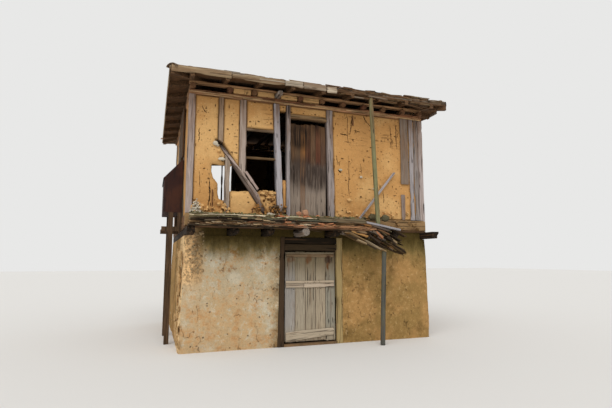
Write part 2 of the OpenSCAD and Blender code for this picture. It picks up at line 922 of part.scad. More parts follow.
module front_infill_right() {
    color([0.80, 0.55, 0.30]) front_infill(right_jamb_mid, house_w - corner_w);
}

// Upright boards nailed over the wall beside the right corner, with the wide one broken off
module right_corner_boards() {
    y2 = front_y + infill_back;
    gap = 10;
    stub_h = 540;
    stub_split = 105;
    pitch_w = corner_board_w + gap;
    x2 = right_x - corner_w - gap;
    wide_x = x2 - 2 * pitch_w - wide_board_w;
    color([0.52, 0.48, 0.47]) {
        for (i = [0, 1])
            block([x2 - i * pitch_w - corner_board_w, y2 - 26 - 6 * i, sill_top],
                  [x2 - i * pitch_w, y2, plate_z]);
        block([wide_x, y2 - 28, sill_top + wide_board_z], [wide_x + wide_board_w, y2, plate_z]);
        block([wide_x - 15, y2 - 28, sill_top],
              [wide_x + wide_board_w - stub_split, y2, sill_top + stub_h]);
    }
}

side_studs_n = 3;
function side_stud_y(i) =
    front_y + frame_t + (house_d - 2 * frame_t) * (i + 1) / (side_studs_n + 1);

module side_stud_row(x1, x2) {
    for (i = [0:side_studs_n - 1])
        block([x1, side_stud_y(i) - stud_w / 2, sill_top],
              [x2, side_stud_y(i) + stud_w / 2, plate_z]);
}

module side_studs() {
    color([0.58, 0.53, 0.50]) {
        side_stud_row(left_x, left_x + frame_t);
        side_stud_row(right_x - frame_t, right_x);
    }
}

module upper_left_wall() {
    color([0.80, 0.55, 0.30]) difference() {
        block([left_x + infill_back, front_y + frame_t, sill_top],
              [left_x + frame_t, back_y - frame_t, plate_z]);
        side_stud_row(left_x - eps, left_x + frame_t + eps);
    }
}

module upper_right_wall() {
    color([0.80, 0.55, 0.30]) difference() {
        block([right_x - frame_t, front_y + frame_t, sill_top],
              [right_x - infill_back, back_y - frame_t, plate_z]);
        side_stud_row(right_x - frame_t - eps, right_x + eps);
    }
}

back_stud_x = concat(
    [back_window_x - stud_w],
    [for (i = [0:2]) back_window_x + back_window_w + i * back_stud_pitch]
);

module back_stud_row(y1, y2) {
    for (x = back_stud_x)
        block([left_x + x, y1, sill_top], [left_x + x + stud_w, y2, plate_z]);
}

module back_studs() {
    mullion_w = 56;
    mullion_t = 60;
    x1 = left_x + back_window_x + back_window_w * 0.66;
    y1 = back_y - frame_t;
    y2 = y1 + (frame_t - mullion_t) / 2;
    z1 = sill_top + back_window_z;
    color([0.56, 0.50, 0.46]) {
        back_stud_row(y1, back_y);
        block([x1, y2, z1], [x1 + mullion_w, y2 + mullion_t, z1 + back_window_h]);
    }
}

module upper_back_wall() {
    y1 = back_y - frame_t;
    x1 = left_x + back_window_x;
    z1 = sill_top + back_window_z;
    color([0.80, 0.55, 0.30]) difference() {
        block([left_x + corner_w, y1, sill_top],
              [right_x - corner_w, back_y - infill_back, plate_z]);
        back_stud_row(y1 - eps, back_y + eps);
        block([x1 - eps, y1 - eps, z1],
              [x1 + back_window_w + eps, back_y + eps, z1 + back_window_h]);
    }
}

module top_plates() {
    color([0.50, 0.32, 0.22]) {
        beam_ring(plate_z, plate_top);
        intersection() {
            beam_ring(tail_top, tail_top + 200);
            roof_form(0);
        }
    }
}

function tail_x(i) = left_x + tail_first + i * tail_pitch;
function tail_reach(i) = i == 2 ? tail_out : [30, 42, 20, 36, 26][i % 5];

module ceiling_joists() {
    color([0.44, 0.36, 0.28]) {
        for (i = [0:tail_count - 1])
            log_y(tail_x(i), plate_top, tail_d, tail_h, front_y - tail_reach(i), back_y + 25);
        for (x = [left_x + edge_tail_in, right_x - edge_tail_in])
            log_y(x, plate_top, tail_d, tail_h, front_y - 30, back_y + 25);
    }
}

// Adobe between the ceiling joists, lost at the ragged right end of the front
module eave_fill() {
    kept = 4;
    color([0.80, 0.60, 0.38]) for (i = [0:tail_count - 2]) {
        x1 = tail_x(i) + tail_d / 2;
        x2 = tail_x(i + 1) - tail_d / 2;
        if (i < kept)
            block([x1, front_y + 14, plate_top], [x2, front_y + frame_t, tail_top]);
        block([x1, back_y - frame_t, plate_top], [x2, back_y - 14, tail_top]);
    }
}

// Everything below the roof's four slopes, raised by h
module roof_form(h) {
    mid_x = (roof_l + roof_r) / 2;
    mid_y = (roof_f + roof_b) / 2;
    z = eave_z + h;
    intersection() {
        along_y(roof_f, roof_b) polygon([
            [roof_l, 0], [roof_r, 0], [roof_r, z],
            [mid_x, z + (roof_r - mid_x) * slope], [roof_l, z]
        ]);
        along_x(roof_l, roof_r) polygon([
            [roof_f, 0], [roof_b, 0], [roof_b, z], [mid_y, z + half_run * slope], [roof_f, z]
        ]);
    }
}

module roof_layer(h1, h2) {
    difference() {
        roof_form(h2);
        roof_form(h1);
        block([roof_l - eps, roof_f - eps, -eps], [roof_r + eps, roof_b + eps, eave_z - eps]);
    }
}

// The plan of one slope, held back from the hips and the ridge
module slope_plan(side, back) {
    s = back * sqrt(2);
    front = [
        [roof_l + s, roof_f], [roof_r - s, roof_f],
        [roof_r - s - (half_run - back), roof_f + half_run - back],
        [roof_l + s + (half_run - back), roof_f + half_run - back]
    ];
    end = [[roof_l, roof_f + s], [roof_l + half_run - s, 0], [roof_l, roof_b - s]];
    if (side == "front") polygon(front);
    if (side == "back") mirror([0, 1]) polygon(front);
    if (side == "left") polygon(end);
    if (side == "right") mirror([1, 0]) polygon(end);
}

hip_w = 80;

module rafters() {
    reach_x = floor((roof_r - 200) / rafter_pitch);
    reach_y = floor((roof_b - 250) / rafter_pitch);
    color([0.40, 0.32, 0.25]) intersection() {
        roof_layer(0, rafter_h);
        union() {
            for (side = ["front", "back"]) intersection() {
                linear_extrude(2 * tail_top) slope_plan(side, hip_w / 2);
                for (i = [-reach_x:reach_x])
                    block([i * rafter_pitch - rafter_w / 2, roof_f, 0],
                          [i * rafter_pitch + rafter_w / 2, roof_b, 2 * tail_top]);
            }
            for (side = ["left", "right"]) intersection() {
                linear_extrude(2 * tail_top) slope_plan(side, hip_w / 2);
                for (i = [-reach_y:reach_y])
                    block([roof_l, i * rafter_pitch - rafter_w / 2, 0],
                          [roof_r, i * rafter_pitch + rafter_w / 2, 2 * tail_top]);
            }
        }
    }
}

// What lies along the ridge, w wide, from the level z upwards
module ridge_strip(w, z) {
    block([roof_l + half_run, -w / 2, z], [roof_r - half_run, w / 2, 2 * tail_top]);
}

// What lies along the four hips, w wide, up to the ridge's side
module hip_strips(w) {
    joint = 4;
    for (mx = [0, 1]) for (my = [0, 1]) mirror([mx, 0, 0]) mirror([0, my, 0])
        translate([roof_l, roof_f, 0]) rotate([0, 0, 45])
            block([0, -w / 2, 0], [(half_run - w / 2 - joint) * sqrt(2), w / 2, 2 * tail_top]);
}

module ridge_and_hips() {
    ridge_drop = 60;
    color([0.40, 0.32, 0.25]) {
        intersection() {
            roof_form(rafter_h);
            ridge_strip(hip_w, eave_z + half_run * slope - ridge_drop);
        }
        intersection() {
            roof_layer(0, rafter_h);
            hip_strips(hip_w);
        }
    }
}

// One roof layer in four slopes, parted at the hips and the ridge
module four_slopes(h1, h2) {
    difference() {
        roof_layer(h1, h2);
        block([roof_l + half_run, -seam / 2, 0], [roof_r - half_run, seam / 2, 2 * tail_top]);
        for (mx = [0, 1]) for (my = [0, 1]) mirror([mx, 0, 0]) mirror([0, my, 0])
            translate([roof_l, roof_f, 0]) rotate([0, 0, 45])
                block([-eps, -seam / 2, 0],
                      [half_run * sqrt(2) + eps, seam / 2, 2 * tail_top]);
    }
}

module roof_boards() {
    color([0.40, 0.33, 0.26]) four_slopes(rafter_h, rafter_h + roof_deck_t);
}

// Rows of curved tiles up a slope whose eave is reach in front of the middle and span long,
// each ended square beside the caps
module tile_rows(reach, span) {
    eave_in = 15;
    sunk = 4;
    crown = 0.5;
    cap_gap = 6;
    z = eave_z + rafter_h + roof_deck_t + cover_t - tile_rise;
    n = floor((span / 2 - 2 * tile_w) / tile_pitch);
    clear = cap_w / 2 * sqrt(2) + tile_w / 2;
    top = tile_w / 2 * crown;
    foot = tile_w / 2 + (tile_w / 2 - top) * sunk / tile_rise;
    for (i = [-n:n]) {
        run = min(half_run - cap_w / 2, span / 2 - abs(i * tile_pitch) - clear) - cap_gap;
        translate([i * tile_pitch, -reach, z]) rotate([pitch, 0, 0])
            along_y(eave_in, run / cos(pitch)) polygon([
                [-foot, -sunk], [foot, -sunk], [top, tile_rise], [-top, tile_rise]
            ]);
    }
}

// Curved tiles in rows on the four slopes, with caps over the hips and the ridge
module roof_cover() {
    h = rafter_h + roof_deck_t;
    pan_h = h + cover_t - tile_rise;
    color([0.50, 0.34, 0.26]) {
        union() {
            four_slopes(h, pan_h);
            for (my = [0, 1]) mirror([0, my, 0]) tile_rows(-roof_f, roof_r - roof_l);
            for (turn = [90, -90]) rotate([0, 0, turn]) tile_rows(roof_r, roof_b - roof_f);
        }
        intersection() {
            roof_layer(pan_h + seat_gap, h + cover_t);
            union() {
                ridge_strip(cap_w, 0);
                hip_strips(cap_w);
            }
        }
    }
}

// Weathered boards along the eaves, broken off at the right of the front
module eave_boards() {
    z2 = eave_z + rafter_h + roof_deck_t + cover_t;
    z1 = z2 - fascia_h;
    ends = [0, 1060, 2060, 2430, 2910, 3130];
    joint = 6;
    lost_l = 350;
    color([0.52, 0.47, 0.42]) {
        for (i = [0:len(ends) - 2])
            block([roof_l + ends[i] + joint, roof_f - fascia_t, z1 + (i % 2) * 6],
                  [roof_l + ends[i + 1], roof_f, z2 - (i % 3) * 5]);
        block([roof_l, roof_b, z1], [roof_r, roof_b + fascia_t, z2]);
        block([roof_l - fascia_t, roof_f, z1], [roof_l, roof_b - seam, z2]);
        block([roof_r, roof_f + lost_l, z1], [roof_r + fascia_t, roof_b - seam, z2]);
    }
}

wall_board_t = 28;

// Dark boards hanging on the upper left wall above the closet
module left_wall_boards() {
    n = 7;
    gap = 6;
    y1 = front_y + closet_y;
    w = closet_l / n;
    z1 = closet_z + closet_high + panel_t * 2;
    color([0.26, 0.20, 0.17]) for (i = [0:n - 1])
        block([left_x - wall_board_t, y1 + i * w, z1 + (i % 3) * 35],
              [left_x, y1 + (i + 1) * w - gap, plate_top]);
}

closet_z = sill_top + 100;
closet_eave = 20;

module closet_side(y) {
    x1 = left_x - closet_out;
    along_y(y, y + panel_t) polygon([
        [x1, closet_z], [left_x, closet_z], [left_x, closet_z + closet_high - seam],
        [x1, closet_z + closet_low - seam]
    ]);
}

// A lean-to box of sheet metal on the left wall, hollow behind its panels
module side_closet() {
    x1 = left_x - closet_out;
    y1 = front_y + closet_y;
    y2 = y1 + closet_l;
    rise = (closet_high - closet_low) / closet_out;
    color([0.33, 0.13, 0.13]) {
        closet_side(y1);
        closet_side(y2 - panel_t);
        block([x1, y1 + panel_t + seam, closet_z + panel_t + seam],
              [x1 + panel_t, y2 - panel_t - seam, closet_z + closet_low - seam]);
        block([x1, y1 + panel_t + seam, closet_z],
              [left_x, y2 - panel_t - seam, closet_z + panel_t]);
        along_y(y1, y2) polygon([
            [x1 - closet_eave, closet_z + closet_low - closet_eave * rise],
            [left_x, closet_z + closet_high],
            [left_x, closet_z + closet_high + panel_t],
            [x1 - closet_eave, closet_z + closet_low - closet_eave * rise + panel_t]
        ]);
    }
}

// Bearers and posts that carry the closet
module closet_frame() {
    w = closet_post_w;
    x1 = left_x - closet_out;
    y1 = front_y + closet_y;
    post_x = x1 + 150 - w / 2;
    inner_w = 75;
    bearer_z = lower_h + 130;
    color([0.30, 0.25, 0.22]) for (y = [y1, y1 + closet_l - w]) {
        block([x1 - closet_eave, y, bearer_z], [left_x, y + w, bearer_z + w]);
        block([post_x, y, bearer_z + w], [post_x + w, y + w, closet_z]);
        block([left_x - inner_w, y, bearer_z + w], [left_x, y + w, closet_z]);
        block([post_x, y, 0], [post_x + w, y + w, bearer_z]);
    }
}

earth_floor();
lower_front_wall_left();
lower_front_wall_right();
lower_left_wall();
lower_right_wall();
lower_back_wall();
door_posts();
over_door_boards();
lower_lintel();
lower_door();
door_straps();
door_pintles();
floor_joists();
floor_fill();
floor_boards();
clay_floor();
sill_beams();
ledge_boards();
ledge_rubble();
ledge_planks();
fallen_boards();
ledge_post();
eave_pole();
corner_posts();
front_studs();
front_braces();
window_bars();
upper_door_jambs();
upper_door_lintel();
upper_door();
front_infill_left();
front_infill_right();
right_corner_boards();
side_studs();
back_studs();
upper_left_wall();
upper_right_wall();
upper_back_wall();
top_plates();
ceiling_joists();
eave_fill();
rafters();
ridge_and_hips();
roof_boards();
roof_cover();
eave_boards();
left_wall_boards();
side_closet();
closet_frame();
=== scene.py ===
"""The looks of a derelict two-storey adobe house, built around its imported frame.

Metres, in the frame's own axes: X along the front from left to right, Y from the front to
the back, Z up. The frame gives every size and place of a wall, timber or board.
"""
import json
import math

import bpy
import numpy as np
from numpy.linalg import norm
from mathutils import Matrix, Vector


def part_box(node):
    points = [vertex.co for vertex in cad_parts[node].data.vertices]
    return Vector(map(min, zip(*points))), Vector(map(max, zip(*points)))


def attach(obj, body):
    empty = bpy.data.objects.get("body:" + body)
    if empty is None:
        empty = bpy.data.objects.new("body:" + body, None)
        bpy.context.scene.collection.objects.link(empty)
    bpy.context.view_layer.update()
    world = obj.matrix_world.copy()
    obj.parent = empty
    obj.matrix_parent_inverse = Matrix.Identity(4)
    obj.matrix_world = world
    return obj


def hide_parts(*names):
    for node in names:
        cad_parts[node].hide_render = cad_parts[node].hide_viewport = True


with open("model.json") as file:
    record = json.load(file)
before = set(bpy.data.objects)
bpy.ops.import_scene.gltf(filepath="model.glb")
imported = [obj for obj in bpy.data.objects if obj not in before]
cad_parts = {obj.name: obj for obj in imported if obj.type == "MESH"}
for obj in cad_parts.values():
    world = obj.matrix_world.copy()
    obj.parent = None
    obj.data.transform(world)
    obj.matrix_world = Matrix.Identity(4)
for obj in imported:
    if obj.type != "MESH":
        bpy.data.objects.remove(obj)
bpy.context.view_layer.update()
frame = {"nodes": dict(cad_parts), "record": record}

bl_info = {
    "name": "Adobe house looks",
    "version": (1, 0, 0),
    "blender": (4, 5, 0),
    "location": "View3D > Sidebar > House",
    "description": "Worn walls, timbers, ledge, roof and materials of an old adobe house",
    "category": "Object",
}

NODES = frame["nodes"]
X, Y, Z = 0, 1, 2
NO_TRIS = np.zeros((0, 3), np.int64)


def corner(node, end):
    """The lowest (end 0) or highest (end 1) corner of a CAD node."""
    return np.array(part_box(node)[end])


def paint(tint):
    """A colour as linear light, from a property's name or from screen values of 0 to 255. An
    array is linear light already."""
    if isinstance(tint, np.ndarray):
        return tint
    if isinstance(tint, str):
        return np.array(getattr(bpy.context.scene.house_colours, tint), float)
    return ((np.array(tint) / 255 + 0.055) / 1.055) ** 2.4


def metres(name, about, default):
    """A length property in metres."""
    return bpy.props.FloatProperty(name=name, description=about, default=default, unit="LENGTH")


LEFT, FRONT, SILL_TOP = corner("corner_posts", 0)
RIGHT, BACK, PLATE_FOOT = corner("corner_posts", 1)
STOREY = corner("lower_back_wall", 1)[Z]
LEDGE_FRONT = corner("ledge_boards", 0)[Y]
EAVE_FRONT = corner("roof_cover", 0)[Y]


class HouseSizes(bpy.types.PropertyGroup):
    """Sizes of what the frame leaves to the looks."""

    front_cell: metres("Front wall cell", "Grid step of the upper front wall", 0.02)
    side_cell: metres("Side wall cell", "Grid step of the other walls", 0.034)
    erosion: metres("Erosion", "Depth that weather took off the mud walls", 0.012)
    timber_wear: metres("Timber wear", "Wear of the timbers' edges", 0.007)
    tile_pitch: metres("Tile pitch", "Spacing of the rows of tiles", 0.21)
    tile_w: metres("Tile width", "Width of one curved tile", 0.17)
    tile_l: metres("Tile length", "Length of one tile that shows", 0.32)
    cap_w: metres("Cap width", "Width of the tiles on the hips and the ridge", 0.22)
    strips: bpy.props.IntProperty(
        name="Ledge strips", description="Rotten layers along the ledge", default=170)
    splinters: bpy.props.IntProperty(
        name="Splinters", description="Number of broken boards at the ledge's right end",
        default=100)


def colour(name, about, *rgb):
    """A colour property whose default is given as 0 to 255 screen values."""
    return bpy.props.FloatVectorProperty(
        name=name, description=about, subtype="COLOR", size=3, default=tuple(paint(rgb)), min=0,
        max=1)


class HouseColours(bpy.types.PropertyGroup):
    """Main colours of the house's finishes."""

    adobe: colour("Adobe", "Bare mud of the upper walls", 195, 146, 89)
    adobe_light: colour("Light adobe", "Dry patches of the mud", 212, 168, 110)
    adobe_dark: colour("Dark adobe", "Damp and sooty mud", 152, 108, 60)
    plaster: colour("Plaster", "Worn plaster of the lower front", 192, 174, 142)
    plaster_pale: colour("Pale plaster", "Washed patches of the plaster", 202, 192, 168)
    plaster_tan: colour("Bare plaster", "Where the plaster's skin has gone", 180, 138, 92)
    plaster_foot: colour("Plaster foot", "Warm foot of the plaster", 194, 166, 126)
    # Both colours below are olive dirt mixed with painted shade: they stand for the shadow under
    # the ledge as well as its grime.
    grime: colour("Grime and ledge shade", "Olive dirt and painted shade under the ledge", 116, 100, 58)
    soot: colour("Dark dirt and ledge shade", "Painted shade and damp dirt right under the ledge", 70, 57, 25)
    right_mud: colour("Right wall", "Bare mud right of the lower door", 152, 121, 72)
    grey_wood: colour("Grey timber", "Timber that rain and sun have bleached", 154, 143, 133)
    lilac_wood: colour("Silver timber", "Bleached sawn boards", 156, 150, 150)
    tan_wood: colour("Tan timber", "Dry timber with its skin gone", 166, 138, 104)
    brown_wood: colour("Brown timber", "Sheltered old timber", 112, 82, 56)
    dark_wood: colour("Dark timber", "Rotten or sooty timber", 58, 46, 33)
    moss_wood: colour("Mossy timber", "Timber under moss", 122, 108, 80)
    moss: colour("Moss", "Grey-green moss on flat timber", 104, 100, 66)
    door_head: colour("Door head", "Stained head of the lower door", 126, 112, 85)
    door_foot: colour("Door foot", "Beige foot of the lower door", 178, 162, 138)
    upper_grey: colour("Bleached foot", "Foot of the upper door", 152, 137, 122)
    clay_pink: colour("Pinkish clay", "Burnt clay in the ledge", 176, 118, 84)
    tile: colour("Tile", "Old fired clay", 146, 98, 72)
    tile_pale: colour("Pale tile", "Bleached fired clay", 176, 136, 108)
    lichen: colour("Lichen", "Dark growth on the tiles", 84, 77, 62)
    rust: colour("Rusty sheet", "Maroon rust of the closet", 54, 31, 27)
    iron: colour("Iron", "Rust of the straps and pins", 72, 44, 34)
    stone: colour("Stone", "Pale field stone", 188, 178, 160)
    earth: colour("Earth", "Beaten earth and clay", 132, 104, 74)
    floor: colour("Studio floor", "Pale floor", 214, 212, 208)
    sky: colour("Backdrop", "Pale backdrop", 232, 232, 231)


def sizes():
    return bpy.context.scene.house_sizes


# Noise


def lattice(cell, seed):
    """A repeatable number from 0 to 1 for each whole point, by mixing its coordinates."""
    mixed = cell[..., 0] * 374761393 + cell[..., 1] * 668265263 + cell[..., 2] * 362437
    mixed = (mixed + seed * 974711) & 0xFFFFFFFF
    mixed = ((mixed ^ (mixed >> 13)) * 1274126177) & 0xFFFFFFFF
    return ((mixed ^ (mixed >> 16)) & 0xFFFFFF) / float(0xFFFFFF)


def noise(points, scale=1.0, seed=0):
    """Smooth noise from -1 to 1: lattice values blended by smoothstep along three axes."""
    p = np.asarray(points, float) * scale
    cell = np.floor(p).astype(np.int64)
    f = p - cell
    f = f * f * (3 - 2 * f)
    total = 0.0
    for dx in (0, 1):
        for dy in (0, 1):
            for dz in (0, 1):
                weight = np.abs(1 - dx - f[..., 0])
                weight = weight * np.abs(1 - dy - f[..., 1])
                weight = weight * np.abs(1 - dz - f[..., 2])
                total = total + weight * lattice(cell + np.array([dx, dy, dz]), seed)
    return total * 2 - 1


def rough_noise(points, scale=1.0, octaves=4, seed=0):
    """Noise at doubling scales and halving heights, added up, from about -1 to 1."""
    total = 0.0
    for k in range(octaves):
        total = total + noise(points, scale * 2 ** k, seed + k * 17) * 0.5 ** k
    return total / 1.6


def smoothstep(lo, hi, v):
    t = np.clip((v - lo) / (hi - lo), 0, 1)
    return t * t * (3 - 2 * t)


# Meshes


def grid_quads(n, m, closed=False):
    """Corner numbers of the cells of an n by m grid; a closed one joins its last column."""
    i, j = np.meshgrid(np.arange(n - 1), np.arange(m if closed else m - 1), indexing="ij")
    k = (j + 1) % m
    quads = np.stack([i * m + j, (i + 1) * m + j, (i + 1) * m + k, i * m + k], -1)
    return quads.reshape(-1, 4)


class Skin:
    """One mesh grown part by part: points, faces, and for each point its place along and
    across the grain, a shade of its own and the part's tint."""

    def __init__(self, seed=1, tint=(255, 255, 255), spread=0.10):
        self.points, self.quads, self.tris = [], [], []
        self.grain, self.shade, self.tints = [], [], []
        self.count = 0
        self.tint, self.spread = tint, spread
        self.random = np.random.default_rng(seed)

    def take(self, points, quads, tris, grain, shade, tints):
        """Keeps one part's arrays, its faces numbered on from the parts before it."""
        self.points.append(points)
        self.quads.append(quads + self.count)
        self.tris.append(tris + self.count)
        self.grain.append(grain)
        self.shade.append(shade)
        self.tints.append(tints)
        self.count += len(points)

    def add(self, points, quads, tris=NO_TRIS, grain=None, shade=None, tint=None):
        """Adds a closed part, turned so that its faces enclose a positive volume."""
        points = np.asarray(points, float).reshape(-1, 3)
        every = np.concatenate([quads[:, [0, 1, 2]], quads[:, [0, 2, 3]], tris])
        a, b, c = (points[every[:, k]] - points[0] for k in range(3))
        if np.einsum("ij,ij->", a, np.cross(b, c)) < 0:
            quads, tris = quads[:, ::-1], tris[:, ::-1]
        if grain is None:
            grain = points + self.random.uniform(0, 20, 3)
        if shade is None:
            shade = self.random.uniform(0, 1)
        self.take(points, quads, tris, grain.reshape(-1, 3),
                  np.broadcast_to(np.asarray(shade, float).reshape(-1), len(points)),
                  np.broadcast_to(self.toned(tint, 1), points.shape))

    def add_tube(self, rings, grain, shade, tint):
        """Adds closed rings, with their grain moved to a place of its own."""
        points, quads, tris = tube(rings)
        grain = np.concatenate([grain.reshape(-1, 3), grain[[0, -1]].mean(1)])
        self.add(points, quads, tris, grain + self.random.uniform(0, 20, 3), shade, tint)

    def toned(self, tint, n):
        """n shades of the part's tint, each a little lighter, darker, warmer or colder."""
        base = paint(self.tint if tint is None else tint)
        light = self.random.uniform(1 - self.spread, 1 + self.spread, (n, 1))
        warm = self.random.uniform(-self.spread, self.spread, (n, 1)) * np.array([0.5, 0, -0.5])
        return np.clip(base * light * (1 + warm), 0, 1)

    def scatter(self, template, quads, places, axes, shades, tints=None):
        """Adds copies of a template: each point is its place plus the template's x, y and z
        times that copy's three axes."""
        moved = places[:, None, :] + np.einsum("pk,nkc->npc", template, axes)
        n, size = len(places), len(template)
        numbers = (quads[None] + (np.arange(n) * size)[:, None, None]).reshape(-1, 4)
        grain = moved + self.random.uniform(0, 20, (n, 1, 3))
        self.take(moved.reshape(-1, 3), numbers, NO_TRIS, grain.reshape(-1, 3),
                  np.repeat(shades, size), np.repeat(self.toned(tints, n), size, axis=0))

    def piece(self, name, maker, slot, *replaces, body="house", sharp=35):
        """Makes the object, gives it its finish and body, and hides what it replaces."""
        points = np.concatenate(self.points)
        quads, tris = np.concatenate(self.quads), np.concatenate(self.tris)
        mesh = bpy.data.meshes.new(name)
        mesh.vertices.add(len(points))
        mesh.vertices.foreach_set("co", points.astype(np.float32).ravel())
        mesh.loops.add(quads.size + tris.size)
        mesh.loops.foreach_set("vertex_index", np.concatenate([quads.ravel(), tris.ravel()]))
        mesh.polygons.add(len(quads) + len(tris))
        mesh.polygons.foreach_set("loop_start", np.concatenate([
            np.arange(len(quads)) * 4, quads.size + np.arange(len(tris)) * 3]))
        for label, kind, field, rows in (("grain", "FLOAT_VECTOR", "vector", self.grain),
                                         ("shade", "FLOAT", "value", self.shade),
                                         ("tint", "FLOAT_VECTOR", "vector", self.tints)):
            data = mesh.attributes.new(label, kind, "POINT").data
            data.foreach_set(field, np.concatenate(rows).astype(np.float32).ravel())
        mesh.update(calc_edges=True)
        mesh.validate()
        mesh.shade_smooth()
        mesh.set_sharp_from_angle(angle=math.radians(sharp))
        mesh.materials.append(finish(maker))
        piece = bpy.data.objects.new(name, mesh)
        bpy.context.scene.collection.objects.link(piece)
        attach(piece, body)
        if replaces:
            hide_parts(*replaces)


def node_mesh(node):
    """A CAD node's distinct corners, and its triangles as corner numbers."""
    mesh = NODES[node].data
    points = np.empty(len(mesh.vertices) * 3)
    mesh.vertices.foreach_get("co", points)
    corners, back = np.unique(np.round(points.reshape(-1, 3), 5), axis=0, return_inverse=True)
    loops = np.empty(len(mesh.loops), np.int64)
    mesh.loops.foreach_get("vertex_index", loops)
    return corners, back.reshape(-1)[loops].reshape(-1, 3)


def box_corners(low, high, along, flat):
    """The eight corners of a box in the order that a timber takes them."""
    across = 3 - along - flat
    found = np.empty((2, 2, 2, 3))
    for k, end in enumerate((low, high)):
        found[k, :, :, along] = end[along]
        found[:, k, :, flat] = end[flat]
        found[:, :, k, across] = end[across]
    return found


def add_box(skin, low, high, along, flat, **settings):
    """A worn timber that fills a box."""
    add_timber(skin, box_corners(low, high, along, flat), **settings)


def add_strip(skin, start, run, tilt, reach, thick, **settings):
    """A worn strip that starts at a place and runs along X at a slope, with a reach in Y."""
    k, j, i = np.indices((2, 2, 2))
    way, rise = k * run, j * thick
    corners = start + np.stack([way * math.cos(tilt) - rise * math.sin(tilt), i * reach,
                                way * math.sin(tilt) + rise * math.cos(tilt)], -1)
    add_timber(skin, corners, **settings)


def tube(rings):
    """Joins closed rings (n, m, 3) into a skin and shuts both ends with a fan."""
    n, m = rings.shape[:2]
    points = np.concatenate([rings.reshape(-1, 3), rings[[0, -1]].mean(1)])
    ring = np.arange(m)
    first = np.stack([np.full(m, n * m), ring, (ring + 1) % m], -1)
    last = np.stack([np.full(m, n * m + 1), (ring + 1) % m, ring], -1)
    last[:, 1:] += (n - 1) * m
    quads = grid_quads(n, m, closed=True)[:, ::-1]
    return points, quads[:, ::-1], np.concatenate([first, last])[:, ::-1]


def slab(top, under):
    """Two grids (n, m, 3) of one size as the two sides of a plate, joined round the rim."""
    n, m = top.shape[:2]
    face = grid_quads(n, m)
    rim = np.concatenate([
        np.arange(m), np.arange(1, n) * m + m - 1, (n - 1) * m + np.arange(m - 2, -1, -1),
        np.arange(n - 2, 0, -1) * m])
    nxt = np.roll(rim, -1)
    side = np.stack([rim, nxt, nxt + n * m, rim + n * m], -1)
    quads = np.concatenate([face, face[:, ::-1] + n * m, side])
    return np.concatenate([top.reshape(-1, 3), under.reshape(-1, 3)]), quads


def cube_skin(n):
    """The points of a cube from -1 to 1 on an n-cell lattice over its six sides."""
    s, t = (g.ravel() for g in np.meshgrid(np.arange(n + 1), np.arange(n + 1), indexing="ij"))
    sides = []
    for axis in range(3):
        for end in (0, n):
            p = np.full((len(s), 3), end)
            first, second = (axis + 1) % 3, (axis + 2) % 3
            p[:, first], p[:, second] = (s, t) if end else (t, s)
            sides.append(p)
    every = np.concatenate(sides)
    unique, back = np.unique(every, axis=0, return_inverse=True)
    quads = np.concatenate([grid_quads(n + 1, n + 1) + k * len(s) for k in range(6)])
    return unique / n * 2 - 1, back.reshape(-1)[quads]


def lump(n, roundness, roughness, seed):
    """A worn block: each point of a cube's skin lies between the cube and its ball, and
    noise pushes it in and out."""
    cube, quads = cube_skin(n)
    ball = cube / norm(cube, axis=1)[:, None] * 1.15
    shape = cube * (1 - roundness) + ball * roundness
    shape = shape * (1 + roughness * rough_noise(cube + seed * 7.3, 1.3, 3, seed))[:, None]
    return shape, quads


# Reading the frame


def solids(node):
    """The corner points of each solid in a CAD node: faces that share corners belong
    together, found by handing each corner the lowest number that reaches it."""
    corners, tris = node_mesh(node)
    label = np.arange(len(corners))
    while True:
        new = label.copy()
        np.minimum.at(new, tris.ravel(), np.repeat(label[tris].min(1), 3))
        new = new[new]
        if (new == label).all():
            break
        label = new
    found = [corners[label == k] for k in np.unique(label)]
    return sorted(found, key=lambda p: tuple(np.round(p.mean(0), 3)))


def outline(node, axis, depth):
    """The border of a node's flat face at one depth: edges of only one triangle there."""
    corners, tris = node_mesh(node)
    flat = (np.abs(corners[tris][:, :, axis] - depth) < 1e-4).all(1)
    edges = np.sort(tris[flat][:, [0, 1, 1, 2, 2, 0]].reshape(-1, 2), axis=1)
    edges, count = np.unique(edges, axis=0, return_counts=True)
    return corners[edges[count == 1]][:, :, [k for k in range(3) if k != axis]]


def depth_inside(u, v, edges):
    """How far a point lies inside an outline, negative outside: the distance to the nearest
    edge, with the sign of the count of edges that a ray along u crosses."""
    shape = u.shape
    p = np.stack([u.ravel(), v.ravel()], -1)
    near = np.full(len(p), 1e9)
    crossed = np.zeros(len(p), bool)
    for a, b in edges:
        d = b - a
        t = np.clip(((p - a) @ d) / max(d @ d, 1e-12), 0, 1)
        near = np.minimum(near, norm(p - a - t[:, None] * d, axis=1))
        if a[1] != b[1]:
            spans = (a[1] > p[:, 1]) != (b[1] > p[:, 1])
            at_u = a[0] + (p[:, 1] - a[1]) * d[0] / d[1]
            crossed ^= spans & (p[:, 0] < at_u)
    return (np.where(crossed, 1, -1) * near).reshape(shape)


def prism(points, along, flat, by_sides=False):
    """Eight corners [end][depth][side] of a timber whose outline was extruded along flat:
    its lowest and highest pairs along its length, or one pair for each of its sides."""
    across = 3 - along - flat
    lo, hi = points[:, flat].min(), points[:, flat].max()
    found = np.empty((2, 2, 2, 3))
    for j, level in enumerate((lo, hi)):
        face = points[np.abs(points[:, flat] - level) < 2e-3]
        if by_sides:
            mid = (face[:, across].min() + face[:, across].max()) / 2
            for i, side in enumerate((face[face[:, across] < mid], face[face[:, across] > mid])):
                found[:, j, i, across] = (side[:, across].min(), side[:, across].max())[i]
                found[:, j, i, along] = side[:, along].min(), side[:, along].max()
                found[:, j, i, flat] = level
        else:
            order = np.argsort(face[:, along], kind="stable")
            for k, pair in enumerate((face[order[:2]], face[order[-2:]])):
                key = pair[:, across] + 1e-3 * pair[:, along]
                found[k, j] = pair[np.argsort(key)]
    return found


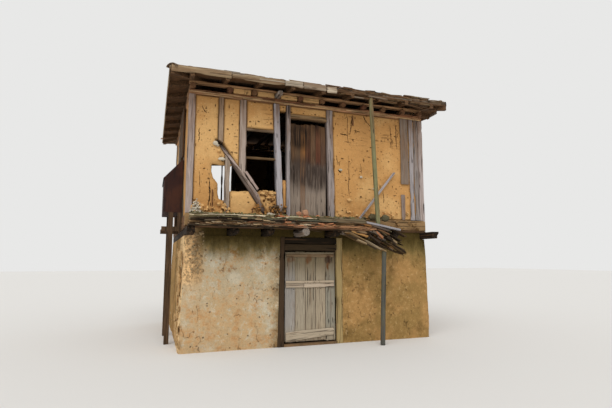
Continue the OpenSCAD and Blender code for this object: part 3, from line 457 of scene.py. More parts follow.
def blend(corners, a, b, t):
    """The point at shares a, b and t of the way between eight corners."""
    total = 0.0
    for k, wt in enumerate((1 - t, t)):
        for j, wb in enumerate((1 - b, b)):
            for i, wa in enumerate((1 - a, a)):
                total = total + (wt * wb * wa)[..., None] * corners[k, j, i]
    return total


def add_timber(skin, corners, wear=None, rough=0.003, cell=0.08, jag=(0, 0), bow=0, shade=None,
               tint=None, split=0.0):
    """A worn timber in eight corners. A ring goes round the section with its corners cut,
    rings follow each other along the grain, and each point is pushed towards the middle by
    noise that is stretched along the grain, most at the corners. jag is how ragged the two
    ends are, bow how far the middle sags, and split how deep long checks are drawn in."""
    wear = sizes().timber_wear if wear is None else wear
    seed = int(skin.random.integers(1, 9999))
    length = norm(corners[1].mean((0, 1)) - corners[0].mean((0, 1)))
    width = norm(corners[:, :, 1].mean((0, 1)) - corners[:, :, 0].mean((0, 1)))
    depth = norm(corners[:, 1].mean((0, 1)) - corners[:, 0].mean((0, 1)))
    n_a = int(np.clip(round(width / 0.03), 1, 7))
    n_b = int(np.clip(round(depth / 0.045), 1, 4))
    cut_a, cut_b = min(wear / width, 0.3), min(wear / depth, 0.3)
    go_a, go_b = np.linspace(cut_a, 1 - cut_a, n_a + 1), np.linspace(cut_b, 1 - cut_b, n_b + 1)
    a = np.concatenate([go_a, np.ones(n_b + 1), go_a[::-1], np.zeros(n_b + 1)])
    b = np.concatenate([np.zeros(n_a + 1), go_b, np.ones(n_a + 1), go_b[::-1]])
    edge = np.concatenate([[1, *[0] * (n - 1), 1] for n in (n_a, n_b, n_a, n_b)])
    tip = min(0.5 * wear / length + 1e-4, 0.1)
    n_t = int(np.clip(round(length / cell), 2, 64))
    t = np.concatenate([[0], np.linspace(tip, 1 - tip, n_t + 1), [1]])[:, None]
    tt, aa, bb = np.broadcast_arrays(t, a, b)
    around = np.stack([aa * width, bb * depth, np.full(aa.shape, seed)], -1)
    start, stop = (jag[k] / length * (0.5 + 0.5 * noise(around, 30, seed + 5 * k)) for k in (0, 1))
    tt = start + tt * (1 - start - stop)
    grain = np.stack([tt * length, aa * width, bb * depth], -1)
    points = blend(corners, aa, bb, tt)
    out = points - blend(corners, np.full(aa.shape, 0.5), np.full(aa.shape, 0.5), tt)
    reach = norm(out, axis=-1)
    stretched = grain * [2.2, 24, 24]
    push = rough * (0.7 + 0.6 * noise(stretched, 1, seed))
    chip = 0.5 + 0.9 * noise(stretched * [1.5, 0.2, 0.2], 1, seed + 3)
    chip = chip + 2.2 * smoothstep(0.45, 0.8, noise(grain * [6.0, 2.0, 2.0], 1, seed + 8))
    push = push + edge * wear * np.clip(chip, 0, 3)
    push = push + split * smoothstep(0.35, 0.7, noise(grain * [1.1, 30, 30], 1, seed + 11))
    push[[0, -1]] += wear * 0.7
    points = points - out * (np.minimum(push, 0.45 * reach) / reach)[..., None]
    points[..., Z] -= bow * np.sin(np.pi * tt)
    skin.add_tube(points, grain, shade, tint)


def log_ends(points):
    """The two ends of a log's middle line and its radius, from its longest direction."""
    middle = points.mean(0)
    way = np.linalg.svd(points - middle, full_matrices=False)[2][0]
    way = way * np.sign(way[np.argmax(np.abs(way))])
    t = (points - middle) @ way
    away = points - middle - t[:, None] * way
    return (middle + way * t.min(), middle + way * t.max(),
            np.median(norm(away, axis=1)))


def add_log(skin, solid, jag=(0.01, 0.01), sides=18, wander=0.004, tint=None):
    """A round log in place of a solid: rings of a radius that narrows along it and swells and
    shrinks with noise, on a middle line that wanders, with ragged ends."""
    p, q, radius = log_ends(solid)
    seed = int(skin.random.integers(1, 9999))
    length = norm(q - p)
    way = (q - p) / length
    side = np.cross(way, [0, 0, 1.0] if abs(way[2]) < 0.9 else [1.0, 0, 0])
    side = side / norm(side)
    t = np.linspace(0.008 / length, 1 - 0.008 / length, max(3, int(length / 0.1)))
    angle = np.linspace(0, 2 * np.pi, sides, endpoint=False)
    tt, an = np.meshgrid([0, *t, 1], angle, indexing="ij")
    across, up = np.cos(an), np.sin(an)
    round_way = np.stack([across * 1.3, up * 1.3, tt * length * 0.8], -1)
    r = radius * (1 - 0.04 * tt) * (0.97 + 0.05 * rough_noise(round_way, 1.2, 3, seed))
    r[[0, -1]] *= 0.91
    start, stop = (jag[k] / length * (0.5 + 0.5 * noise(round_way, 2.5, seed + 1 + k))
                   for k in (0, 1))
    tt = start + tt * (1 - start - stop)
    drift = wander * noise(np.stack([tt * length, tt * 0, tt * 0 + seed], -1), 1.5, seed)
    points = (p + way * (tt * length)[..., None] + side * (r * across + drift)[..., None]
              + np.cross(side, way) * (r * up + drift)[..., None])
    grain = np.stack([tt * length, radius * across, radius * up], -1)
    skin.add_tube(points, grain, None, tint)


# Shader expressions


class Value:
    """A number, colour or vector in a material, on which operators add Math nodes."""

    def __init__(self, finish, link):
        self.finish, self.link = finish, link

    def math(self, operation, *others, clamp=False):
        return self.finish.value("ShaderNodeMath", dict(enumerate((self, *others))),
                                 operation=operation, use_clamp=clamp)

    def __add__(self, other):
        return self.math("ADD", other)

    def __mul__(self, other):
        return self.math("MULTIPLY", other)

    def __sub__(self, other):
        return self.math("SUBTRACT", other)

    def most(self, other):
        return self.math("MAXIMUM", other)

    def clamped(self):
        return self.math("ADD", 0.0, clamp=True)

    def step(self, lo, hi):
        """0 below lo and 1 above hi, smooth between; the other way round if lo is higher."""
        return self.finish.value(
            "ShaderNodeMapRange",
            {"Value": self, "From Min": min(lo, hi), "From Max": max(lo, hi),
             "To Min": float(lo > hi), "To Max": float(lo < hi)},
            interpolation_type="SMOOTHSTEP")

    def part(self, axis):
        return self.finish.value("ShaderNodeSeparateXYZ", {0: self}, axis)

    def times(self, vector):
        return self.finish.vector("MULTIPLY", self, vector)

    def plus(self, vector):
        return self.finish.vector("ADD", self, vector)


class Finish:
    """One material, grown value by value."""

    def __init__(self, name, base=None):
        self.base = base
        self.material = bpy.data.materials.new(name)
        self.material.use_nodes = True
        self.tree = self.material.node_tree
        self.shader = self.tree.nodes["Principled BSDF"]

    def value(self, kind, sockets, output=0, **settings):
        """Adds a node, its settings first and then its sockets, and gives one output."""
        made = self.tree.nodes.new(kind)
        for key, setting in settings.items():
            setattr(made, key, setting)
        for key, fed in sockets.items():
            self.feed(made.inputs[key], fed)
        return Value(self, made.outputs[output])

    def feed(self, socket, fed):
        if isinstance(fed, Value):
            self.tree.links.new(fed.link, socket)
        elif socket.type == "RGBA":
            socket.default_value = (*paint(fed), 1.0)
        else:
            socket.default_value = fed

    def vector(self, operation, *vectors, output=0):
        return self.value("ShaderNodeVectorMath", dict(enumerate(vectors)), output,
                          operation=operation)

    def place(self):
        """The point's own place on the house."""
        return self.value("ShaderNodeTexCoord", {}, "Object")

    def attribute(self, name, output):
        return self.value("ShaderNodeAttribute", {}, output, attribute_name=name)

    def facing(self):
        return self.value("ShaderNodeNewGeometry", {}, "Normal")

    def noise(self, at, scale, detail=3.0, roughness=0.55, output=0):
        return self.value("ShaderNodeTexNoise", {
            "Vector": at, "Scale": scale, "Detail": detail, "Roughness": roughness}, output)

    def bent(self, at, scale, amount):
        """The place moved about by noise, so that a pattern on it wanders."""
        shift = self.noise(at, scale, 3.0, 0.5, output=1)
        return self.vector("MULTIPLY_ADD", shift, (amount,) * 3, at)

    def thread(self, at, stretch, width, seed=0.0):
        """Thin wandering lines, 1 on them: where stretched noise passes its middle value."""
        spot = at.times(stretch).plus((seed, seed * 0.7, seed * 1.3))
        return (self.noise(spot, 1.0, 3.0, 0.5) - 0.5).math("ABSOLUTE").step(width, width * 0.3)

    def cells(self, at, output="Distance"):
        return self.value("ShaderNodeTexVoronoi", {"Vector": at, "Scale": 1.0}, output)

    def flecks(self, at, stretch, size, share):
        """Scattered blots, 1 inside: the middles of a share of stretched cells."""
        spot = self.bent(at, 11.0, 0.035).times(stretch)
        chosen = self.cells(spot, "Color").part(0).step(1.0 - share, 1.02 - share)
        return self.cells(spot).step(size, size * 0.55) * chosen

    def spot(self, at, middle, radius, squash=(1.0, 1.0, 1.0)):
        """A ragged patch round a place, 1 inside."""
        away = self.bent(at, 7.0, 0.10).plus([-v - 0.05 for v in middle]).times(squash)
        return self.vector("LENGTH", away, output="Value").step(radius, radius * 0.45)

    def mix(self, first, second, share, blend_type="MIX"):
        return self.value("ShaderNodeMix", {0: share, 6: first, 7: second}, 2,
                          data_type="RGBA", blend_type=blend_type)

    def coat(self, over, share):
        """Lays a colour over the base."""
        self.base = self.mix(self.base, over, share)

    def shade(self, factor):
        """Multiplies the base by a grey factor."""
        grey = self.value("ShaderNodeCombineColor", {0: factor, 1: factor, 2: factor})
        self.base = self.mix(self.base, grey, 1.0, "MULTIPLY")

    def soot(self, at):
        """Blackens the base inside the rooms: painted shade for the dark rooms, with old smoke and
        dust.
        """
        across = at.part(0).math("ABSOLUTE").step(RIGHT - 0.05, RIGHT - 0.17)
        deep = at.part(1).math("ABSOLUTE").step(BACK - 0.04, BACK - 0.17)
        low = at.part(2).step(PLATE_FOOT + 0.25, PLATE_FOOT + 0.1)
        self.coat((14, 11, 8), across * deep * low * 0.88)

    def done(self, roughness, relief=None, height=0.0, specular=0.1):
        """Closes the material, with a relief of a height in metres as its bump."""
        self.feed(self.shader.inputs["Base Color"], self.base)
        self.feed(self.shader.inputs["Roughness"], roughness)
        if relief:
            bump = self.value("ShaderNodeBump", {
                "Height": relief, "Distance": height, "Strength": 1.0})
            self.feed(self.shader.inputs["Normal"], bump)
        self.shader.inputs["Specular IOR Level"].default_value = specular
        return self.material


MADE = {}


def finish(maker):
    """Each finish is made once and used again."""
    if maker not in MADE:
        f = Finish(maker.__name__)
        maker(f, f.place())
        MADE[maker] = f.material
    return MADE[maker]


def adobe_mud(f, at):
    """Orange mud: broad light and dark patches, flecks of straw, a few layered courses near
    the top, short cracks and many small dark chips. Painted shade darkens the gaps where it
    meets the timber and, with damp, the top under the eave; painted light brightens the eave
    blocks."""
    rim = f.attribute("shade", "Fac")
    up = at.part(2)
    broad = f.noise(at, 0.9, 4.0, 0.6)
    middle = f.noise(at, 5.0, 5.0, 0.65)
    small = f.noise(at, 22.0, 4.0, 0.7)
    fine = f.noise(at, 85.0, 3.0, 0.7)
    f.base = f.mix("adobe", "adobe_light", broad.step(0.44, 0.62))
    f.coat("adobe_dark", middle.step(0.54, 0.74) * 0.34)
    # Darker towards the top: painted shade of the eave, with damp dust.
    f.coat("adobe_dark", up.step(3.9, 4.5) * 0.34)
    # Painted light: the eave blocks above 4.66 m are made lighter than the mud below them, for the
    # sky light they catch under the eave.
    f.coat((216, 172, 116), up.step(4.655, 4.665) * 0.8)
    straw = f.flecks(at, (16.0, 16.0, 60.0), 0.30, 0.22)
    f.coat((222, 190, 138), straw * 0.5)
    f.coat("adobe_dark", small.step(0.56, 0.68) * 0.35)
    f.shade(small * 0.55 + fine * 0.45 + 0.51)
    course = f.thread(f.bent(at, 2.0, 0.06), (1.0, 1.0, 9.0), 0.022)
    layered = f.noise(at.plus((3.0, 9.0, 4.0)), 1.4, 2.0).step(0.54, 0.62) * up.step(3.7, 4.3)
    upright = f.flecks(at.plus((6.0, 1.0, 2.0)), (27.0, 27.0, 6.0), 0.30, 0.07)
    short = f.flecks(at.plus((1.0, 4.0, 6.0)), (5.0, 5.0, 25.0), 0.26, 0.07)
    chips = f.flecks(at, (12.0, 12.0, 17.0), 0.33, 0.12)
    pits = f.flecks(at.plus((2.0, 7.0, 1.0)), (26.0, 26.0, 30.0), 0.36, 0.17)
    dark = upright.most(course * layered * 0.5)
    dark = dark.most(chips).most(pits * 0.65).most(short * 0.9)
    # Painted shade: the rim's shade darkens the mud in the gaps along the timber, together with the
    # real chips and cracks.
    edge = (rim * (small * 1.6 + 0.1)).clamped()
    f.coat((70, 45, 24), (dark * 0.8).most(edge * 0.72))
    relief = fine * 0.2 + small * 0.45 + middle * 0.5 - dark * 1.2
    f.soot(at)
    f.done(0.92, relief, 0.014)


def old_plaster(f, at):
    """Worn plaster of the lower storey: a mottled cream skin with tan patches, pits and drips,
    olive grime mixed with painted shade under the ledge, painted shade beside the door, a
    warmer foot, a bare strip at the left, and brown mud at the right and on the sides."""
    across, up = at.part(0), at.part(2)
    broad = f.noise(at, 0.9, 4.0, 0.62)
    patch = f.noise(f.bent(at, 3.0, 0.2), 2.6, 5.0, 0.65)
    mottle = f.noise(at, 6.0, 6.0, 0.74)
    speck = f.noise(at, 15.0, 5.0, 0.72)
    fine = f.noise(at, 75.0, 3.0, 0.7)
    drip = f.noise(at.times((5.0, 5.0, 1.3)), 1.0, 5.0, 0.68)
    f.base = f.mix("plaster", "plaster_pale", patch.step(0.48, 0.60))
    f.coat("plaster_foot", up.step(1.3, 0.7) * broad.step(0.36, 0.50))
    f.coat((196, 152, 104), up.step(1.1, 0.5) * mottle.step(0.46, 0.62) * 0.55)
    f.coat("plaster_tan", speck.step(0.50, 0.64) * 0.75)
    f.coat("plaster_tan", mottle.step(0.54, 0.64) * 0.65)
    f.coat("plaster_pale", mottle.step(0.44, 0.34) * 0.7)
    for x, z, radius in ((-1.60, 1.74, 0.22), (-1.13, 1.65, 0.12), (-1.63, 1.42, 0.18),
                         (-1.80, 1.62, 0.12), (-1.52, 1.76, 0.18)):
        shape = f.spot(at, (x, FRONT, z), radius, (1.0, 1.0, 2.0)) * speck.step(0.42, 0.56)
        f.coat((142, 98, 54), shape * 0.75)
    f.coat("plaster_pale", f.spot(at, (-1.59, FRONT, 1.28), 0.18) * 0.7)
    # Painted shade: a darker band beside the door, where the wall turns into the doorway.
    f.coat((104, 84, 54), across.step(-0.98, -0.74) * mottle.step(0.3, 0.6) * 0.8)
    front = f.facing().part(1).step(-0.3, -0.8)
    strip = (across + speck * 0.10).step(-2.08, -2.16) * (up + patch * 0.3).step(1.15, 1.45)
    grit = speck.step(0.42, 0.58).most((across + speck * 0.05).step(-2.34, -2.28) * 0.6)
    bare = f.mix((244, 200, 144), (156, 128, 92), grit)
    f.coat(bare, strip)
    mud = f.mix("right_mud", (176, 136, 84), broad.step(0.44, 0.60))
    mud = f.mix(mud, (116, 90, 50), patch.step(0.50, 0.66) * 0.7)
    mud = f.mix(mud, (188, 158, 114), speck.step(0.56, 0.68) * 0.5)
    side = f.facing().part(0).step(-0.5, -0.9) * at.part(1).step(-0.9, -1.3)
    stony = f.mix((226, 192, 142), (140, 110, 72), mottle.step(0.50, 0.60))
    mud = f.mix(mud, stony, side)
    skin = front * (across + patch * 0.1).step(0.60, 0.50)
    f.base = f.mix(mud, f.base, skin)
    # Olive grime and painted shade under the ledge: the two colours darken the wall towards the
    # ledge, for its shadow as well as its dirt.
    fall = up + drip * 0.55 - 0.27
    shaded = front * across.step(-2.34, -2.10)
    f.coat("grime", fall.step(1.50, 1.88) * shaded * 0.92)
    f.coat("soot", fall.step(1.74, 2.02) * shaded * 0.92)
    pits = f.flecks(at, (19.0, 19.0, 24.0), 0.34, 0.07)
    hair = f.thread(at, (2.6, 2.6, 1.3), 0.006, 3.0) * mottle.step(0.50, 0.56)
    f.shade(fine * 0.8 + speck * 0.9 + 0.15)
    f.coat((80, 58, 34), pits.most(hair * 0.8) * 0.65)
    relief = fine * 0.25 + speck * 0.6 + patch * 0.4 + mottle * 0.4 - pits * 0.8 - hair * 0.4
    f.soot(at)
    f.done(0.93, relief, 0.022)


def wood(f, place, moss_share=0.0, fades=(), stains=()):
    """Bare timber in each piece's own tint: fine fibres, broad bands, long dark splits and
    knots along its grain, brown under the eave, and moss on what faces up. A fade mixes in a
    colour between two levels, less where the shade is low; a stain is a patch of colour."""
    at, tint = f.attribute("grain", "Vector"), f.attribute("tint", "Vector")
    shade = f.attribute("shade", "Fac")
    up = place.part(2)
    wavy = f.bent(at, 1.7, 0.02)
    fibre = f.noise(wavy.times((7.0, 240.0, 240.0)), 1.0, 2.0, 0.6)
    streak = f.noise(wavy.times((2.4, 60.0, 60.0)), 1.0, 4.0, 0.68)
    band = f.noise(at.times((1.3, 12.0, 12.0)), 1.0, 3.0, 0.6)
    split = f.noise(wavy.times((1.2, 42.0, 42.0)).plus((7.0, 3.0, 1.0)), 1.0, 2.0, 0.5)
    split = split.step(0.635, 0.665)
    knot = f.flecks(at, (3.4, 16.0, 16.0), 0.24, 0.16)
    f.base = tint
    for low, high, mixed, share in fades:
        level = (up + streak * 0.5 - 0.25).step(low, high)
        f.coat(mixed, level * share * (shade * 0.6 + 0.4))
    f.coat("brown_wood", band.step(0.52, 0.68) * 0.45)
    f.coat("brown_wood", up.step(PLATE_FOOT - 1.5, PLATE_FOOT) * band.step(0.3, 0.6) * 0.65)
    f.shade(streak * 1.15 + fibre * 0.75 + 0.05)
    for middle, radius, mixed, squash in stains:
        f.coat(mixed, f.spot(place, middle, radius, squash) * streak.step(0.30, 0.58))
    f.coat((34, 26, 20), (split * 0.85).most(knot * 0.7))
    if moss_share:
        growth = f.noise(place, 6.0, 5.0, 0.7).step(0.62 - moss_share * 0.3, 0.62)
        facing_up = f.facing().part(2).step(-0.35, 0.7)
        f.coat("moss", growth * (facing_up * 0.75 + 0.25) * 0.75)
    relief = streak * 0.7 + fibre * 0.3 + band * 0.3 - split * 1.3 - knot * 0.4
    f.soot(place)
    f.done(streak * 0.15 + 0.78, relief, 0.007, specular=0.15)


def weathered(f, at):
    wood(f, at)


def mossy(f, at):
    wood(f, at, 0.5)


def lower_door_wood(f, at):
    """The boards' stained head, grey middle and beige foot, with rust under the top ledge."""
    face = corner("lower_door", 0)[Y] + 0.02
    rust, dark = (112, 74, 44), (70, 46, 32)
    fades = ((1.15, 1.62, "door_head", 0.9), (0.42, 0.14, "door_foot", 0.8))
    stains = (((-0.15, face, 1.61), 0.09, rust, (1.0, 1.0, 0.8)),
              ((0.26, face, 1.60), 0.10, dark, (1.0, 1.0, 0.8)),
              ((0.26, face, 1.46), 0.07, rust, (1.6, 1.0, 0.7)),
              ((-0.50, face, 1.60), 0.10, rust, (1.0, 1.0, 1.4)),
              ((0.07, face, 1.19), 0.020, dark, (1.0, 1.0, 1.0)),
              ((-0.53, face, 0.88), 0.022, dark, (1.0, 1.0, 1.0)))
    wood(f, at, 0.0, fades, stains)


def upper_door_wood(f, at):
    """Brown and reddish boards that rain has bleached grey from the middle down, with dark runs
    where the grey begins, and painted shade that blackens the head."""
    face, wet = corner("upper_door", 0)[Y], (64, 53, 46)
    # Painted shade: the last fade blackens the head, and the last stain darkens the boards below
    # it, for the shadow under the lintel and the eave.
    fades = ((3.53, 3.43, (112, 99, 89), 0.9), (3.30, 2.75, "upper_grey", 0.95),
             (4.00, 4.28, (20, 14, 10), 0.95))
    stains = (((-0.30, face, 3.32), 0.34, wet, (1.0, 1.0, 0.8)),
              ((0.02, face, 3.24), 0.30, wet, (1.0, 1.0, 0.8)),
              ((-0.34, face, 4.04), 0.30, (40, 29, 21), (1.0, 1.0, 0.8)))
    wood(f, at, 0.0, fades, stains)


def old_clay(f, at):
    """Fired clay of the tiles: painted shade in the channels, each tile between orange and
    pale, with dark lichen, and grey with dirt along the front eave."""
    shade = f.attribute("shade", "Fac")
    blotch = f.noise(at, 9.0, 5.0, 0.7)
    fine = f.noise(at, 90.0, 3.0, 0.7)
    f.base = f.mix("tile", "tile_pale", (shade * 1.1 + blotch * 0.4 - 0.55).clamped())
    growth = f.noise(at, 2.2, 5.0, 0.7) * 0.5 + blotch * 0.5
    facing_up = f.facing().part(2).step(-0.2, 0.8)
    f.coat("lichen", growth.step(0.46, 0.60) * (facing_up * 0.7 + 0.15))
    f.coat((150, 146, 128), f.flecks(at, (14.0, 14.0, 14.0), 0.4, 0.16) * 0.5)
    # Painted shade: the channels between the rows of tiles are darkened.
    f.coat((62, 50, 42), shade.step(0.28, 0.06) * 0.85)
    f.coat((92, 82, 68), at.part(1).step(-2.30, -2.42) * 0.8)
    f.shade(fine * 0.5 + 0.74)
    f.done(0.9, fine * 0.4 + blotch, 0.006, specular=0.15)


def rubble(f, at):
    """Broken pieces and stones in their own tints, with dark blotches and dust."""
    tint = f.attribute("tint", "Vector")
    blotch = f.noise(at, 16.0, 4.0, 0.7)
    fine = f.noise(at, 110.0, 3.0, 0.7)
    f.base = f.mix(tint, (84, 66, 46), blotch.step(0.52, 0.68) * 0.6)
    f.shade(fine * 0.6 + 0.70)
    f.soot(at)
    f.done(0.94, fine * 0.5 + blotch, 0.008)


def bare_earth(f, at):
    blotch = f.noise(at, 2.0, 5.0, 0.7)
    fine = f.noise(at, 50.0, 3.0, 0.7)
    f.base = f.mix("earth", (96, 78, 58), blotch.step(0.4, 0.7))
    f.shade(fine * 0.5 + 0.75)
    f.soot(at)
    f.done(0.95, fine + blotch, 0.01)


def ledge_clay(f, at):
    """The ledge's core of mud and rotten wood in thin layers."""
    layer = f.noise(f.bent(at, 3.0, 0.04).times((2.2, 2.2, 62.0)), 1.0, 3.0, 0.6)
    blotch = f.noise(at, 6.0, 4.0, 0.7)
    f.base = f.mix((72, 54, 36), (160, 128, 90), layer.step(0.42, 0.60))
    pink = at.part(0).step(-1.7, -1.4) * at.part(0).step(0.0, -0.2) * blotch.step(0.4, 0.55)
    f.coat("clay_pink", pink * 0.6)
    f.shade(f.noise(at, 60.0) * 0.5 + 0.72)
    f.done(0.93, layer + blotch * 0.3, 0.012)


def rusty_sheet(f, at):
    """Maroon rust with brown runs and darker scale."""
    broad = f.noise(at, 3.0, 4.0, 0.6)
    runs = f.noise(at.times((14.0, 14.0, 1.6)), 1.0, 3.0, 0.6)
    fine = f.noise(at, 80.0, 3.0, 0.7)
    f.base = f.mix("rust", (76, 46, 33), broad.step(0.46, 0.66) * 0.7)
    f.coat((34, 24, 22), runs.step(0.46, 0.70) * 0.75)
    f.shade(fine * 0.5 + 0.74)
    f.done(broad * 0.25 + 0.62, fine * 0.4 + broad, 0.004, specular=0.2)


def rusty_iron(f, at):
    scale = f.noise(at, 40.0, 4.0, 0.7)
    f.base = f.mix("iron", (92, 58, 38), scale.step(0.4, 0.65))
    f.done(0.8, scale, 0.002, specular=0.3)


# Frame nodes that keep their own shape


def frame_wood(f, at, along, light):
    """Wood for a CAD node: streaks stretched along one of the house's axes."""
    stretch = [42.0, 42.0, 42.0]
    stretch[along] = 2.5
    streak = f.noise(at.times(stretch), 1.0, 4.0, 0.65)
    f.base = f.mix(light, "dark_wood", streak.step(0.35, 0.7))
    f.shade(f.noise(at, 1.5) * 0.5 + 0.7)
    f.soot(at)
    f.done(0.85, streak, 0.004, specular=0.12)


def rafter_wood(f, at):
    frame_wood(f, at, Y, "brown_wood")


def board_wood(f, at):
    frame_wood(f, at, X, "brown_wood")


def closet_wood(f, at):
    frame_wood(f, at, Z, (98, 76, 56))


def dress(maker, *nodes):
    """Gives CAD nodes that keep their own shape a finish."""
    for node in nodes:
        slots = NODES[node].data.materials
        slots.clear()
        slots.append(finish(maker))


def timbers(skin, node, along, flat, tints=(None,), slim=1.0, **settings):
    """Adds a worn timber for each solid of a CAD node, in its own tint. Slim draws its sides
    in towards its middle line."""
    for k, points in enumerate(solids(node)):
        corners = prism(points, along, flat)
        middle = corners.mean((1, 2), keepdims=True)
        add_timber(skin, middle + (corners - middle) * slim, tint=tints[k % len(tints)], **settings)


def boxed(skin, node, tints=(None,), **settings):
    """Adds a worn timber in the box of each solid of a CAD node, along its longest side."""
    for k, points in enumerate(solids(node)):
        along = long_axis(points)
        add_box(skin, points.min(0), points.max(0), along, Z if along != Z else Y,
                tint=tints[k % len(tints)], **settings)


def worn(name, node, seed, *axes, slot="grey_wood", maker=weathered, spread=0.10, **settings):
    """One piece of worn timbers in place of a CAD node."""
    skin = Skin(seed, spread=spread)
    timbers(skin, node, *axes, **settings)
    skin.piece(name, maker, slot, node)


# Walls


def sheet_wall(skin, u, v, outline_edges, face, deep, place, free, shade=None):
    """A sheet on a grid. Cells inside the outline stay, and points on the rim slide until they
    lie on it, raggedly where the edge is free. face gives the outer side's depth, deep the
    inner side's, with a ring half way. The shade grows towards the rim unless it is given;
    on the mud walls it is painted shade in the gaps along the timber."""
    uu, vv = np.meshgrid(u, v, indexing="ij")
    mid_u, mid_v = np.meshgrid((u[1:] + u[:-1]) / 2, (v[1:] + v[:-1]) / 2, indexing="ij")

    def inside(a, b, ragged):
        spot = np.stack([a, b, np.zeros_like(a)], -1)
        torn = (0.020 * free(a, b) + 0.003) * rough_noise(spot, 9, 3, 31) + 0.003
        return depth_inside(a, b, outline_edges) - ragged * torn

    kept = inside(mid_u, mid_v, 0) > 0
    full = np.zeros((len(u) + 1, len(v) + 1), bool)
    full[1:-1, 1:-1] = kept
    touching = full[:-1, :-1].astype(int) + full[1:, :-1] + full[:-1, 1:] + full[1:, 1:]
    used, rim = touching > 0, (touching > 0) & (touching < 4)

    def slide(ragged):
        a, b = uu.copy(), vv.copy()
        for _ in range(3):
            value = inside(a[rim], b[rim], ragged)
            du = (inside(a[rim] + 1e-3, b[rim], ragged) - value) / 1e-3
            dv = (inside(a[rim], b[rim] + 1e-3, ragged) - value) / 1e-3
            size = np.maximum(du * du + dv * dv, 0.3)
            a[rim] -= value * du / size
            b[rim] -= value * dv / size
        reach = 0.95 * (u[1] - u[0])
        return np.clip(a, uu - reach, uu + reach), np.clip(b, vv - reach, vv + reach)

    front_u, front_v = slide(1)
    back_u, back_v = slide(0)
    within = depth_inside(front_u, front_v, outline_edges)
    depth = face(front_u, front_v, within)
    middle_depth = np.full_like(depth, deep * 0.5)
    spot = np.stack([back_u, back_v, middle_depth], -1)
    wave = 0.016 * free(back_u, back_v) * noise(spot, 20, 41)
    layers = [place(front_u, front_v, depth),
              place((front_u + back_u) / 2 + wave, (front_v + back_v) / 2 + wave, middle_depth),
              place(back_u, back_v, np.full_like(depth, deep))]
    number = np.full(uu.shape, -1)
    number[used] = np.arange(used.sum())
    count = int(used.sum())
    i, j = np.nonzero(kept)
    cells = np.stack([number[i, j], number[i + 1, j], number[i + 1, j + 1], number[i, j + 1]], -1)
    sides = []
    for p, (di, dj) in enumerate(((0, -1), (1, 0), (0, 1), (-1, 0))):
        edge = cells[~full[i + 1 + di, j + 1 + dj]][:, [p, (p + 1) % 4]]
        for k in (0, 1):
            a, b = edge.T + k * count
            sides.append(np.stack([b, a, a + count, b + count], -1))
    points = np.concatenate([layer[used] for layer in layers])
    quads = np.concatenate([cells, cells[:, ::-1] + 2 * count, *sides])
    if shade is None:
        # Painted shade: the shade grows towards the rim, where the mud meets the timber, and
        # adobe_mud darkens it.
        near = smoothstep(0.034, 0.004, within) * (1 - 0.7 * free(front_u, front_v))
        shades = np.concatenate([near[used], np.full(count, 0.3), np.zeros(count)])
    else:
        shades = np.tile(shade(front_u, front_v)[used], 3)
    skin.add(points, quads, grain=points, shade=shades)


def upper_relief(a, b, outer):
    """How deep weather has eaten an upper wall: more at its foot, in level courses near its
    top."""
    spot = np.stack([a, b, np.full_like(a, outer * 3)], -1)
    foot = smoothstep(SILL_TOP + 0.50, SILL_TOP, b) * 0.016 * (1 + rough_noise(spot, 5, 3, 7))
    courses = noise(spot * [1.2, 22.0, 1.0], 1.0, 51) * smoothstep(3.7, 4.3, b) * 0.004
    return mud_relief(spot, 5) + np.clip(foot, 0, 1) + courses


def near_boxes(u, v, axes, boxes):
    """1 at an opening's box and 0 from a reach away, in the plane of two axes."""
    reach = 0.16
    best = np.full(np.shape(u), 1e9)
    for low, high in boxes:
        du = np.maximum(np.maximum(low[axes[0]] - u, u - high[axes[0]]), 0)
        dv = np.maximum(np.maximum(low[axes[1]] - v, v - high[axes[1]]), 0)
        best = np.minimum(best, np.hypot(du, dv))
    return smoothstep(reach, reach * 0.4, best)


def mud_relief(spot, seed):
    """How deep the weather has eaten: broad hollows, small bumps and a few deep bites."""
    deep = sizes().erosion
    hollow = deep * (0.6 + 0.6 * rough_noise(spot, 1.7, 3, seed))
    bump = deep * 0.35 * rough_noise(spot, 9, 3, seed + 3)
    bite = deep * 2.4 * smoothstep(0.42, 0.75, rough_noise(spot, 3.1, 3, seed + 9))
    return np.clip(hollow + bump + bite, 0, 0.06)


def upper_wall(node, name, axis, end, cell):
    """One upper wall between its timbers, from the CAD node's own outline. Its outer side is
    the node's lowest (end 0) or highest (end 1) one."""
    skin = Skin(11)
    outer, inner = corner(node, end)[axis], corner(node, 1 - end)[axis]
    edges = outline(node, axis, outer)
    low, high = edges.reshape(-1, 2).min(0), edges.reshape(-1, 2).max(0)
    u, v = (np.linspace(low[k], high[k], int((high[k] - low[k]) / cell) + 2) for k in (0, 1))
    axes = (Y, Z) if axis == X else (X, Z)
    rows = frame["record"]["physics"]["openings"] if axis == Y and end == 0 else []
    boxes = [np.array(row["box_m"]) for row in rows if row["name"].startswith(
        ("breach", "window_foot", "window_middle", "side_gap"))]

    def free(a, b):
        return near_boxes(a, b, axes, boxes)

    def face(a, b, inside):
        torn = free(a, b) * 0.03 * smoothstep(0.10, 0.0, inside)
        return upper_relief(a, b, outer) + torn + 0.016 * smoothstep(0.026, 0.0, inside)

    def place(a, b, d):
        point = np.empty((*a.shape, 3))
        point[..., axes[0]], point[..., axes[1]] = a, b
        point[..., axis] = outer + np.sign(inner - outer) * d
        return point

    sheet_wall(skin, u, v, edges, face, abs(inner - outer), place, free)
    skin.piece(name, adobe_mud, "adobe", node)


